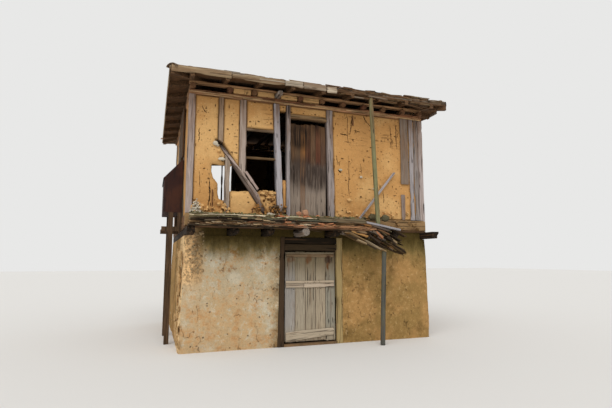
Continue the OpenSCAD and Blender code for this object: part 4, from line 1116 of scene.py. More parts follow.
def lower_wall(name, nodes, route, spacing, seed, slot):
    """A stretch of the lower wall. A station runs along the route's corners, and at each
    one a closed ring climbs the outer face, crosses the top and comes down the inner face;
    weather pushes the outer face in, most at the house's corners and foot."""
    ends = np.array(route, float).transpose(1, 0, 2)
    shares = [k + np.linspace(0, 1, max(2, int(run / spacing)), endpoint=False)
              for k, run in enumerate(norm(np.diff(ends[1], axis=0), axis=1))]
    s = np.append(np.concatenate(shares), len(route) - 1.0)
    index = np.minimum(s.astype(int), len(route) - 2)
    part = (s - index)[:, None]
    foot, top, back = (c[index] * (1 - part) + c[index + 1] * part for c in ends)
    climb = np.linspace(0, 1, max(2, int(STOREY / spacing)) + 1)
    up = climb[:, None]
    inward = back - top
    inward = inward / norm(inward, axis=1)[:, None]
    flat = foot[:, None] * (1 - up) + top[:, None] * up
    height = np.broadcast_to(climb * STOREY, flat.shape[:2])
    spot = np.dstack([flat, height])
    turn = np.full(height.shape, 9.0)
    for low, high in zip(ends[0][1:-1], ends[1][1:-1]):
        turn = np.minimum(turn, norm(flat - (low * (1 - up) + high * up), axis=-1))
    ragged = 1 + 0.5 * rough_noise(spot, 2.5, 3, seed + 2)
    relief = mud_relief(spot, seed) * 0.8 + 0.032 * ragged * smoothstep(0.10, 0.0, turn)
    relief = relief + 0.02 * ragged * smoothstep(0.30, 0.0, height)
    if name == "lower_wall_left":
        strip = smoothstep(0.26, 0.20, turn) * smoothstep(0.02, 0.07, turn)
        strip = strip * smoothstep(0.9, 1.1, height) * smoothstep(2.0, 1.85, height)
        front = np.abs(flat[..., 1] - FRONT) < 0.01
        relief = relief + strip * front * 0.028 * (1 + 0.8 * rough_noise(spot, 14, 3, 3))
    lining = np.dstack([np.broadcast_to(back[:, None], (len(s), 9, 2)),
                        np.broadcast_to(np.linspace(1, 0, 9) * STOREY, (len(s), 9))])
    shell = np.dstack([flat + inward[:, None] * relief[..., None], height])
    points, quads, tris = tube(np.concatenate([shell, lining], 1))
    skin = Skin(seed)
    skin.add(points, quads, tris, grain=points)
    skin.piece(name, old_plaster, slot, *nodes)


class HOUSE_OT_lower_walls(bpy.types.Operator):
    """Builds the worn plastered walls of the lower storey"""

    bl_idname = "house.lower_walls"
    bl_label = "Lower walls"

    def execute(self, context):
        left, right = corner("lower_left_wall", 0)[X], corner("lower_right_wall", 1)[X]
        back, inner = corner("lower_back_wall", 1)[Y], corner("lower_front_wall_left", 1)[Y]
        jamb = corner("lower_front_wall_right", 0)[X]
        points = solids("lower_front_wall_left")[0]
        levels = points[:, Z]
        foot, head = (points[np.abs(levels - level) < 1e-3][:, X].max()
                      for level in (levels.min(), levels.max()))
        in_left, in_right = LEFT + inner - FRONT, RIGHT - inner + FRONT
        back_left = ((left, back), (LEFT, BACK), (in_left, BACK - inner + FRONT))
        back_right = ((right, back), (RIGHT, BACK), (in_right, BACK - inner + FRONT))
        cell = sizes().side_cell
        lower_wall("lower_wall_left", ("lower_front_wall_left", "lower_left_wall"), (
            ((foot, FRONT), (head, FRONT), (head, inner)),
            ((left, FRONT), (LEFT, FRONT), (in_left, inner)), back_left), cell, 21, "plaster")
        lower_wall("lower_wall_back", ("lower_back_wall",), (back_left, back_right), cell * 1.2,
                   22, "adobe")
        lower_wall("lower_wall_right", ("lower_right_wall", "lower_front_wall_right"), (
            back_right, ((right, FRONT), (RIGHT, FRONT), (in_right, inner)),
            ((jamb, FRONT), (jamb, FRONT), (jamb, inner))), cell, 23, "plaster")
        return {"FINISHED"}


class HOUSE_OT_upper_walls(bpy.types.Operator):
    """Builds the mud infill and walls of the upper storey"""

    bl_idname = "house.upper_walls"
    bl_label = "Upper walls"

    def execute(self, context):
        fine, wide = sizes().front_cell, sizes().side_cell
        upper_wall("front_infill_left", "broken_infill", Y, 0, fine)
        upper_wall("front_infill_right", "right_infill", Y, 0, fine)
        upper_wall("upper_left_wall", "left_mud_wall", X, 0, wide)
        upper_wall("upper_right_wall", "right_mud_wall", X, 1, wide)
        upper_wall("upper_back_wall", "back_mud_wall", Y, 1, wide)
        blocks = Skin(31)
        for points in solids("eave_fill"):
            low, high = points.min(0), points.max(0)
            shape, quads = lump(5, 0.16, 0.05, int(blocks.random.integers(1, 999)))
            shape = shape / np.abs(shape).max(0)
            blocks.add((low + high) / 2 + shape * (high - low) / 2, quads, shade=0.0)
        blocks.piece("eave_blocks", adobe_mud, "adobe", "eave_fill")
        # The floor fill takes the plaster, with its painted shade under the ledge.
        dress(old_plaster, "floor_fill")
        dress(bare_earth, "earth_floor", "clay_floor")
        return {"FINISHED"}


def loose_board(skin):
    """A short board that lies along the long brace's lower end."""
    feet, tops = ((-1.220, 2.882), (-1.160, 2.927)), ((-1.470, 3.222), (-1.413, 3.265))
    corners = np.empty((2, 2, 2, 3))
    corners[..., [X, Z]] = np.array([feet, tops])[:, None]
    corners[:, 0, :, Y], corners[:, 1, :, Y] = FRONT - 0.040, FRONT - 0.010
    add_timber(skin, corners, jag=(0.02, 0.02), cell=0.05, split=0.004, tint=(168, 148, 138))


class HOUSE_OT_front_timbers(bpy.types.Operator):
    """Builds the bleached timbers of the upper front, sides and back"""

    bl_idname = "house.front_timbers"
    bl_label = "Frame timbers"

    def execute(self, context):
        worn("worn_corner_posts", "corner_posts", 41, Z, Y, tints=((170, 154, 146),), split=0.009,
             cell=0.05)
        studs = Skin(42, spread=0.04)
        tints = ((158, 137, 116), (158, 142, 126), (170, 154, 142), (166, 160, 161))
        for points, tint in zip(solids("front_studs"), tints):
            corners = prism(points, Z, Y, by_sides=len(points) != 8)
            add_timber(studs, corners, tint=tint, split=0.006, cell=0.06)
        studs.piece("worn_front_studs", weathered, "grey_wood", "front_studs")
        braces = Skin(11, spread=0.06)
        timbers(braces, "front_braces", Z, Y, ((172, 152, 140), (168, 161, 160)), slim=0.8,
                split=0.005)
        loose_board(braces)
        braces.piece("worn_braces", weathered, "grey_wood", "front_braces")
        for name, node, seed, tints in (
                ("worn_jambs", "upper_door_jambs", 10, ((152, 144, 142), (152, 141, 136))),
                ("worn_corner_boards", "right_corner_boards", 18,
                 ((138, 122, 112), (124, 110, 98), "lilac_wood", (140, 129, 122))),
                ("worn_side_studs", "side_studs", 15, ("grey_wood", "tan_wood")),
                ("worn_back_studs", "back_studs", 15, ("grey_wood", "tan_wood"))):
            worn(name, node, seed, Z, Y, tints=tints, spread=0.06, split=0.005)
        worn("worn_window_bars", "window_bars", 46, X, Y, slot="brown_wood",
             tints=((122, 104, 84), (104, 84, 58)))
        worn("worn_door_lintel", "upper_door_lintel", 47, X, Y, slot="brown_wood",
             tints=((140, 112, 78),), bow=-0.012, rough=0.006)
        return {"FINISHED"}


def long_axis(points):
    """The house axis along which a solid is longest."""
    return int(np.argmax(points.max(0) - points.min(0)))


def bark(skin):
    """Long torn layers on the face of the front plate, reddish above and tan below."""
    draw = skin.random.uniform
    low, high = corner("top_plates", 0), corner("top_plates", 1)
    for _ in range(26):
        x = draw(LEFT, RIGHT - 0.4)
        z = PLATE_FOOT + draw(0.012, 0.10)
        size = np.array([draw(0.4, 1.1), 0.02, draw(0.014, 0.034)])
        start = np.array([x, low[Y] - 0.006, z - size[2] / 2])
        end = np.minimum(start + size, [RIGHT, high[Y], PLATE_FOOT + 0.12])
        tint = (224, 184, 134) if z < PLATE_FOOT + 0.06 else (160, 104, 72)
        add_box(skin, start, end, X, Y, wear=0.005, jag=(0.05, 0.05), cell=0.05, tint=tint)


class HOUSE_OT_beams(bpy.types.Operator):
    """Builds the sill beams, plates, joists and roof timbers"""

    bl_idname = "house.beams"
    bl_label = "Beams and joists"

    def execute(self, context):
        sills = Skin(51)
        boxed(sills, "sill_beams", ("brown_wood", (148, 116, 78), "brown_wood"), cell=0.14,
              rough=0.006)
        sills.piece("worn_sills", weathered, "brown_wood", "sill_beams")
        plates = Skin(52)
        boxed(plates, "top_plates", ((196, 148, 104), (206, 160, 114), (186, 134, 94)), cell=0.09,
              wear=0.022, rough=0.010)
        bark(plates)
        plates.piece("worn_plates", weathered, "brown_wood", "top_plates")
        joists = Skin(53)
        front = 3
        for k, points in enumerate(solids("floor_joists")):
            # Painted shade: every joist but the front log is tinted nearly black for the shadow
            # under the ledge.
            tint = (126, 118, 110) if k == front else (40, 32, 24)
            if len(points) > 16:
                add_log(joists, points, jag=(0.03 if k == front else 0.09, 0.0), tint=tint)
            else:
                add_timber(joists, prism(points, Y, X), jag=(0.06, 0.0), cell=0.14, tint=tint)
        joists.piece("worn_floor_joists", weathered, "brown_wood", "floor_joists")
        tails = Skin(54)
        tints = [(124, 88, 62), (112, 70, 50), (132, 98, 68)] * 4
        tints[3] = (176, 172, 166)
        for k, points in enumerate(solids("ceiling_joists")):
            add_log(tails, points, tint=tints[k % len(tints)], jag=(0.02, 0.02), sides=14)
        tails.piece("worn_ceiling_joists", weathered, "brown_wood", "ceiling_joists")
        dress(rafter_wood, "rafters")
        dress(board_wood, "ridge_and_hips", "roof_boards", "floor_boards", "lower_lintel")
        return {"FINISHED"}


def strips():
    """Thin rotten layers of wood and clay along the ledge's broken front edge, from cream
    through brown to nearly black; the dark bands are partly rotten wood and partly painted shade."""
    skin = Skin(64, spread=0.15)
    draw, stray = skin.random.uniform, skin.random.normal
    low, high = corner("ledge_boards", 0), corner("ledge_rubble", 1)
    # Lightness by height: the dark bands under the top layer and at the lower edge are partly
    # rotten wood and partly painted shade of the gap and of the ledge's underside.
    levels, lights = (0, 0.12, 0.3, 0.48, 0.64, 0.8), (0.1, 0.6, 0.8, 0.35, 0.2, 0.95)
    cream, tan, dark = (228, 208, 176), (176, 130, 92), (44, 35, 25)
    for k in range(sizes().strips):
        x = draw(low[X], high[X] - 0.15)
        z = draw(low[Z] - 0.012, high[Z] + (0.07 if x < -0.5 else -0.09))
        share = (z - low[Z]) / (high[Z] + 0.07 - low[Z])
        chunk = k % 5 == 0 and share < 0.55
        run = draw(0.10, 0.30) if chunk else draw(0.35, 1.10)
        thick = draw(0.022, 0.045) if chunk else draw(0.006, 0.020)
        light = float(noise(np.array([x * 0.8, 2.0, z * 13.0]))) * 0.5
        light = light + np.interp(share, levels, lights) + stray(0, 0.12)
        light = np.clip(light, 0, 1)
        if share > 0.7:
            pale = ((196, 190, 158), cream, (132, 126, 90))[k % 3]
        elif x > -0.25:
            pale = tan
        else:
            pale = ("clay_pink" if x > -1.6 else cream, cream, tan)[k % 3]
        start = (x, LEDGE_FRONT + draw(-0.02, 0.03), z)
        add_strip(skin, start, min(run, high[X] + 0.2 - x), stray(0, 0.03),
                  draw(0.05, 0.14), thick, wear=0.012 if chunk else 0.005,
                  rough=0.014 if chunk else 0.006, jag=(0.06, 0.08), cell=0.04,
                  tint=paint(pale) * light + paint(dark) * (1 - light),
                  bow=stray(0, 0.012))
    skin.piece("ledge_strips", weathered, "grey_wood")


def splinters():
    """Broken board ends that slide down past the ledge's right end, over the door's
    reach."""
    skin = Skin(65, spread=0.15)
    draw, stray = skin.random.uniform, skin.random.normal
    edge, end = 0.10, 1.45
    tints = ("dark_wood", "moss_wood", "dark_wood", "grey_wood", (96, 76, 52), "dark_wood",
             "tan_wood", (150, 112, 66), "brown_wood")
    for k in range(sizes().splinters):
        x = draw(edge, end)
        top = np.interp(x, [edge, 0.8, end], [2.30, 2.33, 2.20])
        foot = np.interp(x, [edge, 0.7, 1.1, end], [2.14, 2.05, 1.86, 1.82])
        z = draw(foot, top)
        run = min(draw(0.14, 0.55), 1.80 - x)
        tilt = -math.radians(draw(0, 14) + 20 * smoothstep(0.3, 1.1, x))
        start = (x, LEDGE_FRONT + draw(-0.01, 0.22), z)
        thicks = (0.030, 0.062) if k % 3 == 0 else (0.010, 0.03)
        add_strip(skin, start, run, tilt, draw(0.05, 0.15), draw(*thicks),
                  wear=0.006, rough=0.006, jag=(0.06, 0.10), cell=0.05,
                  tint=tints[k % len(tints)], bow=stray(0, 0.01))
    for x, z, run, slope, thick, tint in (
            (-0.16, 2.288, 1.02, -1, 0.100, (104, 94, 74)),
            (0.02, 2.165, 0.46, -6, 0.040, (70, 56, 40)),
            (0.50, 2.108, 0.41, -15, 0.050, (186, 136, 80)),
            (0.78, 1.955, 0.42, -27, 0.045, (158, 138, 110)),
            (0.86, 2.060, 0.34, -34, 0.055, (60, 48, 36)),
            (1.00, 2.130, 0.26, -38, 0.050, (150, 102, 70)),
            (0.62, 1.965, 0.26, -20, 0.030, (150, 134, 108)),
            (0.36, 2.130, 0.40, -8, 0.035, (64, 52, 38)),
            (0.92, 2.140, 0.30, -26, 0.050, (112, 96, 80)),
            (0.92, 2.240, 0.42, -14, 0.050, (96, 84, 76))):
        add_strip(skin, (x, LEDGE_FRONT - 0.012, z), run, math.radians(slope), 0.10,
                  thick, wear=0.009, rough=0.008, jag=(0.05, 0.08), cell=0.04, tint=tint,
                  split=0.006)
    skin.piece("ledge_splinters", weathered, "grey_wood")


class HOUSE_OT_ledge(bpy.types.Operator):
    """Builds the decayed ledge between the storeys"""

    bl_idname = "house.ledge"
    bl_label = "Ledge"

    def execute(self, context):
        worn("worn_ledge_boards", "ledge_boards", 61, X, Z,
             tints=((88, 70, 50), "brown_wood", "dark_wood"), jag=(0.04, 0.12), wear=0.009,
             rough=0.006, cell=0.05)
        worn("worn_ledge_planks", "ledge_planks", 62, X, Z, maker=mossy,
             tints=((132, 116, 90), "moss_wood", (90, 82, 62)), jag=(0.06, 0.08), wear=0.026,
             rough=0.016, cell=0.05)
        worn("worn_fallen_boards", "fallen_boards", 63, X, Y, spread=0.05,
             tints=((104, 82, 54), (84, 74, 60), (130, 106, 74), "lilac_wood"),
             jag=(0.03, 0.10), wear=0.006, rough=0.006, cell=0.05, split=0.006)
        for node, name, tint in (("ledge_post", "worn_ledge_post", (86, 86, 80)),
                                 ("eave_pole", "worn_eave_pole", (124, 124, 90))):
            skin = Skin(len(name))
            for points in solids(node):
                add_log(skin, points, tint=tint, sides=16, wander=0.010)
            skin.piece(name, mossy, "grey_wood", node)
        strips()
        splinters()
        return {"FINISHED"}


def shard(bend):
    """A piece of a curved tile: a small grid whose height is a half wave across, with torn
    corners, and the same grid lower down as its under side. It is 1 long and 1 wide."""
    s, t = np.meshgrid(np.linspace(-0.5, 0.5, 4), np.linspace(-0.5, 0.5, 5), indexing="ij")
    tear = 1 - 0.22 * np.abs(noise(np.stack([s, t, s * 0 + bend * 9], -1), 2.3, 7))
    rise = bend * np.cos(np.pi * t)
    top = np.stack([s * tear, t * tear, rise], -1)
    return slab(top, top - [0, 0, 0.12])


def turned(random, n, tilt):
    """Random upright frames (n, 3, 3): a turn about Z, then a small tilt."""
    turn = random.uniform(0, 2 * np.pi, n)
    lean = random.normal(0, tilt, (n, 2))
    x_axis = np.stack([np.cos(turn), np.sin(turn), lean[:, 0]], -1)
    z_axis = np.stack([-lean[:, 0] * np.cos(turn), -lean[:, 0] * np.sin(turn), np.ones(n)], -1)
    z_axis[:, 1] += lean[:, 1]
    x_axis /= norm(x_axis, axis=1)[:, None]
    y_axis = np.cross(z_axis, x_axis)
    y_axis /= norm(y_axis, axis=1)[:, None]
    z_axis = np.cross(x_axis, y_axis)
    return np.stack([x_axis, y_axis, z_axis], 1)


def strew(skin, template, places, size, tilt, shades, tint=None):
    """Scatters a template at the places, each copy with its own turn, tilt and size."""
    n = len(places)
    axes = turned(skin.random, n, tilt) * np.asarray(size).reshape(n, 3, 1)
    skin.scatter(template[0], template[1], places, axes, shades, tint)


def shards(low, high):
    """Bits of tile and clay that lie on the ledge between and on the planks."""
    pieces = Skin(72, spread=0.2)
    draw = pieces.random.uniform
    planks = corner("ledge_planks", 1)[Z]
    for bend, count, tint, first, last in (
            (0.05, 60, "earth", low[X], high[X]), (0.22, 7, "clay_pink", -1.3, 0.0),
            (0.15, 14, "stone", low[X], 0.2), (0.08, 40, (92, 78, 56), low[X], high[X])):
        x = draw(first + 0.1, last - 0.1, count)
        y = low[Y] + draw(0.02, 0.40, count)
        gap = (x > -0.92) & (x < -0.18)
        z = np.where(gap, high[Z] + 0.015, planks - 0.006) + draw(-0.004, 0.008, count)
        size = np.stack([draw(0.04, 0.11, count), draw(0.04, 0.09, count),
                         draw(0.10, 0.16, count)], -1)
        strew(pieces, shard(bend), np.stack([x, y, z], -1), size, 0.12,
              draw(0, 1, count), tint)
    for x, z in ((-0.83, 2.375), (-0.43, 2.38)):
        places = np.array([[x, low[Y] + 0.06, z], [x + 0.1, low[Y] + 0.09, z - 0.02]])
        size = np.array([[0.24, 0.16, 0.16], [0.18, 0.14, 0.16]])
        strew(pieces, shard(0.12), places, size, 0.03, np.array([0.5, 0.5]), (190, 122, 84))
    pieces.piece("ledge_shards", rubble, "broken_clay", sharp=30)


def stones():
    """Stones, clods and bricks that show in the broken walls and lie on the ledge."""
    skin = Skin(73, spread=0.06)
    white, mud, dark = (198, 188, 168), "adobe_light", (96, 88, 64)
    for x, out, z, radius, tint in (
            (-2.00, 0, 3.74, 0.050, white), (-1.96, 0, 3.70, 0.036, "stone"),
            (-1.88, 0, 3.45, 0.052, white), (-1.90, 0, 3.52, 0.03, mud),
            (-1.93, 0, 3.60, 0.035, mud), (0.98, 0, 3.29, 0.034, white),
            (0.52, 0.012, 3.41, 0.036, (186, 176, 152)), (0.71, 0, 2.80, 0.04, mud),
            (1.28, 0, 3.06, 0.028, white), (1.12, -0.2, 2.45, 0.085, dark),
            (1.40, -0.2, 2.43, 0.075, dark), (1.22, -0.2, 2.43, 0.05, dark),
            (1.24, -0.16, 2.44, 0.05, "clay_pink"),
            (-0.36, -2.45 - FRONT, 2.455, 0.080, (170, 130, 102)),
            (-0.48, -2.42 - FRONT, 2.450, 0.060, (164, 122, 94)),
            (-0.98, -0.12, 2.43, 0.055, white), (-0.90, -0.12, 2.42, 0.045, "stone"),
            (-0.07, LEDGE_FRONT + 0.03 - FRONT, 2.225, 0.05, (186, 124, 84)),
            (0.05, LEDGE_FRONT + 0.03 - FRONT, 2.20, 0.045, (150, 112, 66)),
            (0.16, LEDGE_FRONT + 0.03 - FRONT, 2.21, 0.05, (178, 118, 80))):
        shape, quads = lump(5, 0.85, 0.35, int(skin.random.integers(1, 999)))
        scale = radius * skin.random.uniform(0.7, 1.1, 3) * [1.0, 0.55, 0.70]
        skin.add([x, FRONT + out, z] + shape * scale, quads, tint=tint)
    edge, flat = (LEDGE_FRONT - 0.014, LEDGE_FRONT + 0.01), (3.4, 1.0, 0.42)
    soft, at_sill, low = (1.2, 1.0, 0.7), (-2.12, -2.07), (2.44, 2.60)
    left = corner("lower_left_wall", 0)[X]
    heap = [(count, (-2.31 - wide, -2.31 + wide), (2.45, top), (-2.14, -2.09), (0.009, 0.023),
             white) for count, wide, top in ((40, 0.11, 2.54), (24, 0.06, 2.62), (8, 0.03, 2.68))]
    torn = [(14, (-2.40, -0.5), (2.18, 2.36), edge, (0.008, 0.022), tint, flat)
            for tint in ((170, 144, 110), (128, 102, 72), (52, 40, 28), (92, 76, 54))]
    torn += [(8, (-0.8, 0.25), (2.18, 2.27), edge, (0.008, 0.022), tint, flat)
             for tint in ((176, 120, 86), (140, 102, 72), (50, 38, 27))]
    for row in (
            *heap, (10, (-2.42, -2.18), (2.45, 2.55), (-2.13, -2.09), (0.012, 0.03), mud),
            (40, (-1.14, -0.84), (2.84, 2.90), (-2.09, -1.98), (0.014, 0.034), mud, soft),
            (12, (-1.06, -0.86), (2.76, 2.86), (-2.085, -2.075), (0.012, 0.026), mud, soft),
            (14, (-1.14, -0.84), (2.70, 2.88), (-2.09, -2.08), (0.012, 0.022), (112, 76, 42)),
            (40, (-1.30, -0.62), (2.44, 2.66), (-2.115, -2.07), (0.012, 0.03), "adobe_dark"),
            (36, (-0.95, -0.62), low, at_sill, (0.010, 0.026), (92, 72, 50)),
            (26, (-2.38, -1.72), low, at_sill, (0.012, 0.03), mud),
            (30, (0.45, 2.1), low, (-2.11, -2.07), (0.012, 0.03), mud),
            (8, (0.98, 1.45), (2.42, 2.46), (-2.28, -2.14), (0.015, 0.035), dark), *torn,
            (12, (1.6, 2.3), (2.20, 2.42), (-2.22, -2.12), (0.02, 0.04), (134, 104, 68)),
            (110, (-2.46, 0.84), (2.375, 2.40), (-2.60, -2.50), (0.007, 0.022), "moss"),
            (40, (left, left + 0.03), (0.10, 1.80), (-2.08, -1.2), (0.03, 0.065),
             (186, 152, 106), (0.35, 1.7, 1.4)),
            (120, (-2.36, -2.16), (1.36, 2.10), (-2.106, -2.085), (0.007, 0.018),
             (172, 148, 112))):
        clods(skin, *row)
    skin.piece("loose_stones", rubble, "broken_clay", sharp=40)


def clods(skin, count, xs, zs, ys, radii, tint, squash=None):
    """Strews lumps of one tint through a box. Squashed ones keep level."""
    draw, stray = skin.random.uniform, skin.random.normal
    shape, quads = lump(3 if squash else 2, 0.45, 0.5, int(skin.random.integers(1, 999)))
    places = np.stack([draw(*span, count) for span in (xs, ys, zs)], -1)
    size = draw(*radii, (count, 1)) * draw(0.6, 1.2, (count, 3))
    if not squash:
        strew(skin, (shape, quads), places, size, 1.4, draw(0, 1, count), tint)
        return
    axes = np.eye(3) * (size * squash)[:, None, :]
    axes[:, 0, Z] = size[:, 0] * squash[0] * stray(0, 0.08, count)
    skin.scatter(shape, quads, places, axes, draw(0, 1, count), tint)


class HOUSE_OT_rubble(bpy.types.Operator):
    """Builds the broken clay, tile pieces and stones on the ledge and in the walls"""

    bl_idname = "house.rubble"
    bl_label = "Rubble"

    def execute(self, context):
        low, high = corner("ledge_rubble", 0), corner("ledge_rubble", 1)
        core = Skin(71)
        u = np.arange(low[X], high[X] + 0.04, 0.04)
        v = np.arange(low[Y], high[Y] + 0.04, 0.04)

        def face(a, b, inside):
            spot = np.stack([a, b, a * 0], -1)
            return np.clip(0.012 + 0.012 * rough_noise(spot, 6, 3, 3), 0, 0.03)

        def place(a, b, d):
            return np.stack([a, b, high[Z] - d], -1)

        def free(a, b):
            return np.ones_like(a)

        sheet_wall(core, u, v, outline("ledge_rubble", Z, high[Z]), face, high[Z] - low[Z], place,
                   free)
        core.piece("ledge_core", ledge_clay, "broken_clay", "ledge_rubble")
        shards(low, high)
        stones()
        return {"FINISHED"}


def tiles(name, out, reach, span, run, deck, cover, slope, k):
    """One slope as a sheet: across it, rows of half round tiles stand between hollow
    channels, height = rise * sqrt(1 - (2 u / width)^2); up it, each tile climbs on the
    one below, height = lap * (1 - share of its length)."""
    pitch, width, length = sizes().tile_pitch, sizes().tile_w, sizes().tile_l
    lap, pan, stagger = 0.012, 0.028, 0.37
    along = np.array([-out[1], out[0]])
    ridge = span - run
    shape = np.array([[-span, 0], [span, 0], [ridge, run], [-ridge, run]])
    if ridge < 1e-6:
        shape = shape[:3]
    edges = np.stack([shape, np.roll(shape, -1, 0)], 1)

    def number(a, b):
        row = np.round(a / pitch)
        return row, np.floor(b / length + stagger * (row % 2))

    def chance(a, b, seed):
        row, place = number(a, b)
        return lattice(np.stack([row, place, row * 0 + k], -1).astype(np.int64), seed)

    def face(a, b, inside):
        row, place = number(a, b)
        share = b / length + stagger * (row % 2) - place
        off = a - row * pitch + (chance(a, b, 5) - 0.5) * 0.012
        taper = width * (1.0 - 0.10 * share)
        arch = np.sqrt(np.clip(1 - (2 * off / taper) ** 2, 0, 1))
        barrel = (cover - pan - lap) * arch * (0.9 + 0.2 * chance(a, b, 8))
        lost = chance(a, b, 3) < 0.03
        return cover - pan - np.where(lost, 0, barrel) - lap * (1 - share)

    def place(a, b, d):
        flat = out * (reach - b)[..., None] + along * a[..., None]
        return np.concatenate([flat, (deck + slope * b + cover - d)[..., None]], -1)

    def free(a, b):
        return np.zeros_like(a)

    # The channels get a shade of 0, which old_clay turns into painted shade.
    def shade(a, b):
        row = np.round(a / pitch)
        on_row = np.abs(a - row * pitch) < width * 0.42
        return np.where(on_row, 0.35 + 0.65 * chance(a, b, 21), 0.0)

    u = np.linspace(-span, span, int(2 * span / (pitch / 8)) + 1)
    v = np.linspace(0, run, int(run / 0.04) + 1)
    skin = Skin(81 + k)
    sheet_wall(skin, u, v, edges, face, cover, place, free, shade)
    hidden = ["roof_cover"] if name == "front" else []
    skin.piece(name + "_tiles", old_clay, "clay_tiles", *hidden)


def caps(half_x, half_y, level, slope):
    """Half round cap tiles, each lapped over the one below it, up the hips and along the
    ridge."""
    skin = Skin(86)
    draw, stray = skin.random.uniform, skin.random.normal
    width, length, lap = sizes().cap_w, 0.40, 0.10
    angle = np.linspace(0, np.pi, 9)
    rows = []
    for radius in (0.5, 0.42):
        rows.append(np.stack([np.stack([radius * taper * np.cos(angle), angle * 0 + s,
                                        radius * taper * 0.55 * np.sin(angle)], -1)
                              for s, taper in ((0.0, 1.0), (0.5, 0.95), (1.0, 0.88))]))
    template, quads = slab(rows[0], rows[1])
    ridge, top = half_x - half_y, level + slope * half_y
    lines = [(np.array([mx * half_x, my * half_y, level]), np.array([mx * ridge, 0, top]))
             for mx in (-1, 1) for my in (-1, 1)]
    lines.append((np.array([-ridge, 0, top]), np.array([ridge, 0, top])))
    for p, q in lines:
        way = (q - p) / norm(q - p)
        side = np.cross(way, [0, 0, 1.0])
        side /= norm(side)
        up = np.cross(side, way)
        n = int(norm(q - p) / (length - lap)) + 1
        starts = p + way * np.linspace(0, norm(q - p) - length, n)[:, None]
        places = starts - up * 0.052 + stray(0, 0.003, (n, 3))
        axes = np.broadcast_to(np.stack([side * width, way * length, up * width]), (n, 3, 3)).copy()
        axes[:, 1, Z] -= 0.012
        faces = quads if np.linalg.det(axes[0]) > 0 else quads[:, ::-1]
        skin.scatter(template, faces, places, axes, draw(0, 1, n))
    skin.piece("cap_tiles", old_clay, "clay_tiles")


class HOUSE_OT_roof(bpy.types.Operator):
    """Lays the curved tiles on the four slopes and caps the hips and the ridge"""

    bl_idname = "house.roof"
    bl_label = "Roof"

    def execute(self, context):
        deck = corner("roof_cover", 0)[Z]
        width, depth, rise = (corner("roof_cover", 1) - corner("roof_cover", 0)) / 2
        cover = corner("eave_boards", 1)[Z] - deck
        slope = (2 * rise - cover) / depth
        for k, (name, out, reach, span) in enumerate((
                ("front", (0.0, -1.0), depth, width), ("back", (0.0, 1.0), depth, width),
                ("left", (-1.0, 0.0), width, depth), ("right", (1.0, 0.0), width, depth))):
            tiles(name, np.array(out), reach, span, depth, deck, cover, slope, k)
        caps(width, depth, deck + cover, slope)
        return {"FINISHED"}


class HOUSE_OT_eave(bpy.types.Operator):
    """Builds the weathered eave boards and the broken ends at the right"""

    bl_idname = "house.eave"
    bl_label = "Eave"

    def execute(self, context):
        boards = Skin(91, spread=0.08)
        draw, stray = boards.random.uniform, boards.random.normal
        light, tan = (190, 178, 158), (150, 130, 102)
        front, top = corner("eave_boards", 0)[Y] + 0.03, corner("eave_boards", 1)[Z]
        lost = LEFT
        for points in solids("eave_boards"):
            along = long_axis(points)
            if points[:, Y].min() > front:
                tint = "grey_wood"
            else:
                tint = light if points[0, X] > -1.0 else tan
            if points[:, Y].max() < EAVE_FRONT + 0.01:
                lost = max(lost, points[:, X].max())
            add_timber(boards, prism(points, along, Y if along == X else X), jag=(0.004, 0.03),
                       wear=0.012, rough=0.005, cell=0.05, tint=tint, split=0.004)
        tints = (tan, light, "brown_wood", (116, 100, 78))
        for k in range(44):
            x = draw(LEFT - 0.3, lost - 0.2)
            start = (x, EAVE_FRONT - draw(0.004, 0.03), top - draw(0, 0.11))
            add_strip(boards, start, draw(0.3, 0.9), stray(0, 0.012), 0.03,
                      draw(0.01, 0.022), wear=0.004, jag=(0.05, 0.05), cell=0.05,
                      tint=tints[k % 4])
        tints = ("dark_wood", "moss_wood", (128, 118, 104), "dark_wood", "brown_wood")
        for k in range(120):
            x = draw(lost - 0.05, RIGHT + 0.2)
            high = k % 2
            y = EAVE_FRONT + draw(-0.025, 0.0 if high else 0.06)
            z = top - 0.155 + (draw(0.10, 0.165) if high else draw(0.0, 0.12))
            run = min(draw(0.15, 0.60), RIGHT + 0.3 - x)
            add_strip(boards, (x, y, z), run, stray(0, 0.05),
                      draw(0.04, 0.10), draw(0.012, 0.03), wear=0.005,
                      jag=(0.05, 0.07), cell=0.06, tint=tints[k % 5])
        boards.piece("worn_eave_boards", weathered, "grey_wood", "eave_boards")
        return {"FINISHED"}


def pairs(values):
    """Sorted distinct values taken two by two."""
    return np.unique(np.round(values, 4)).reshape(-1, 2)


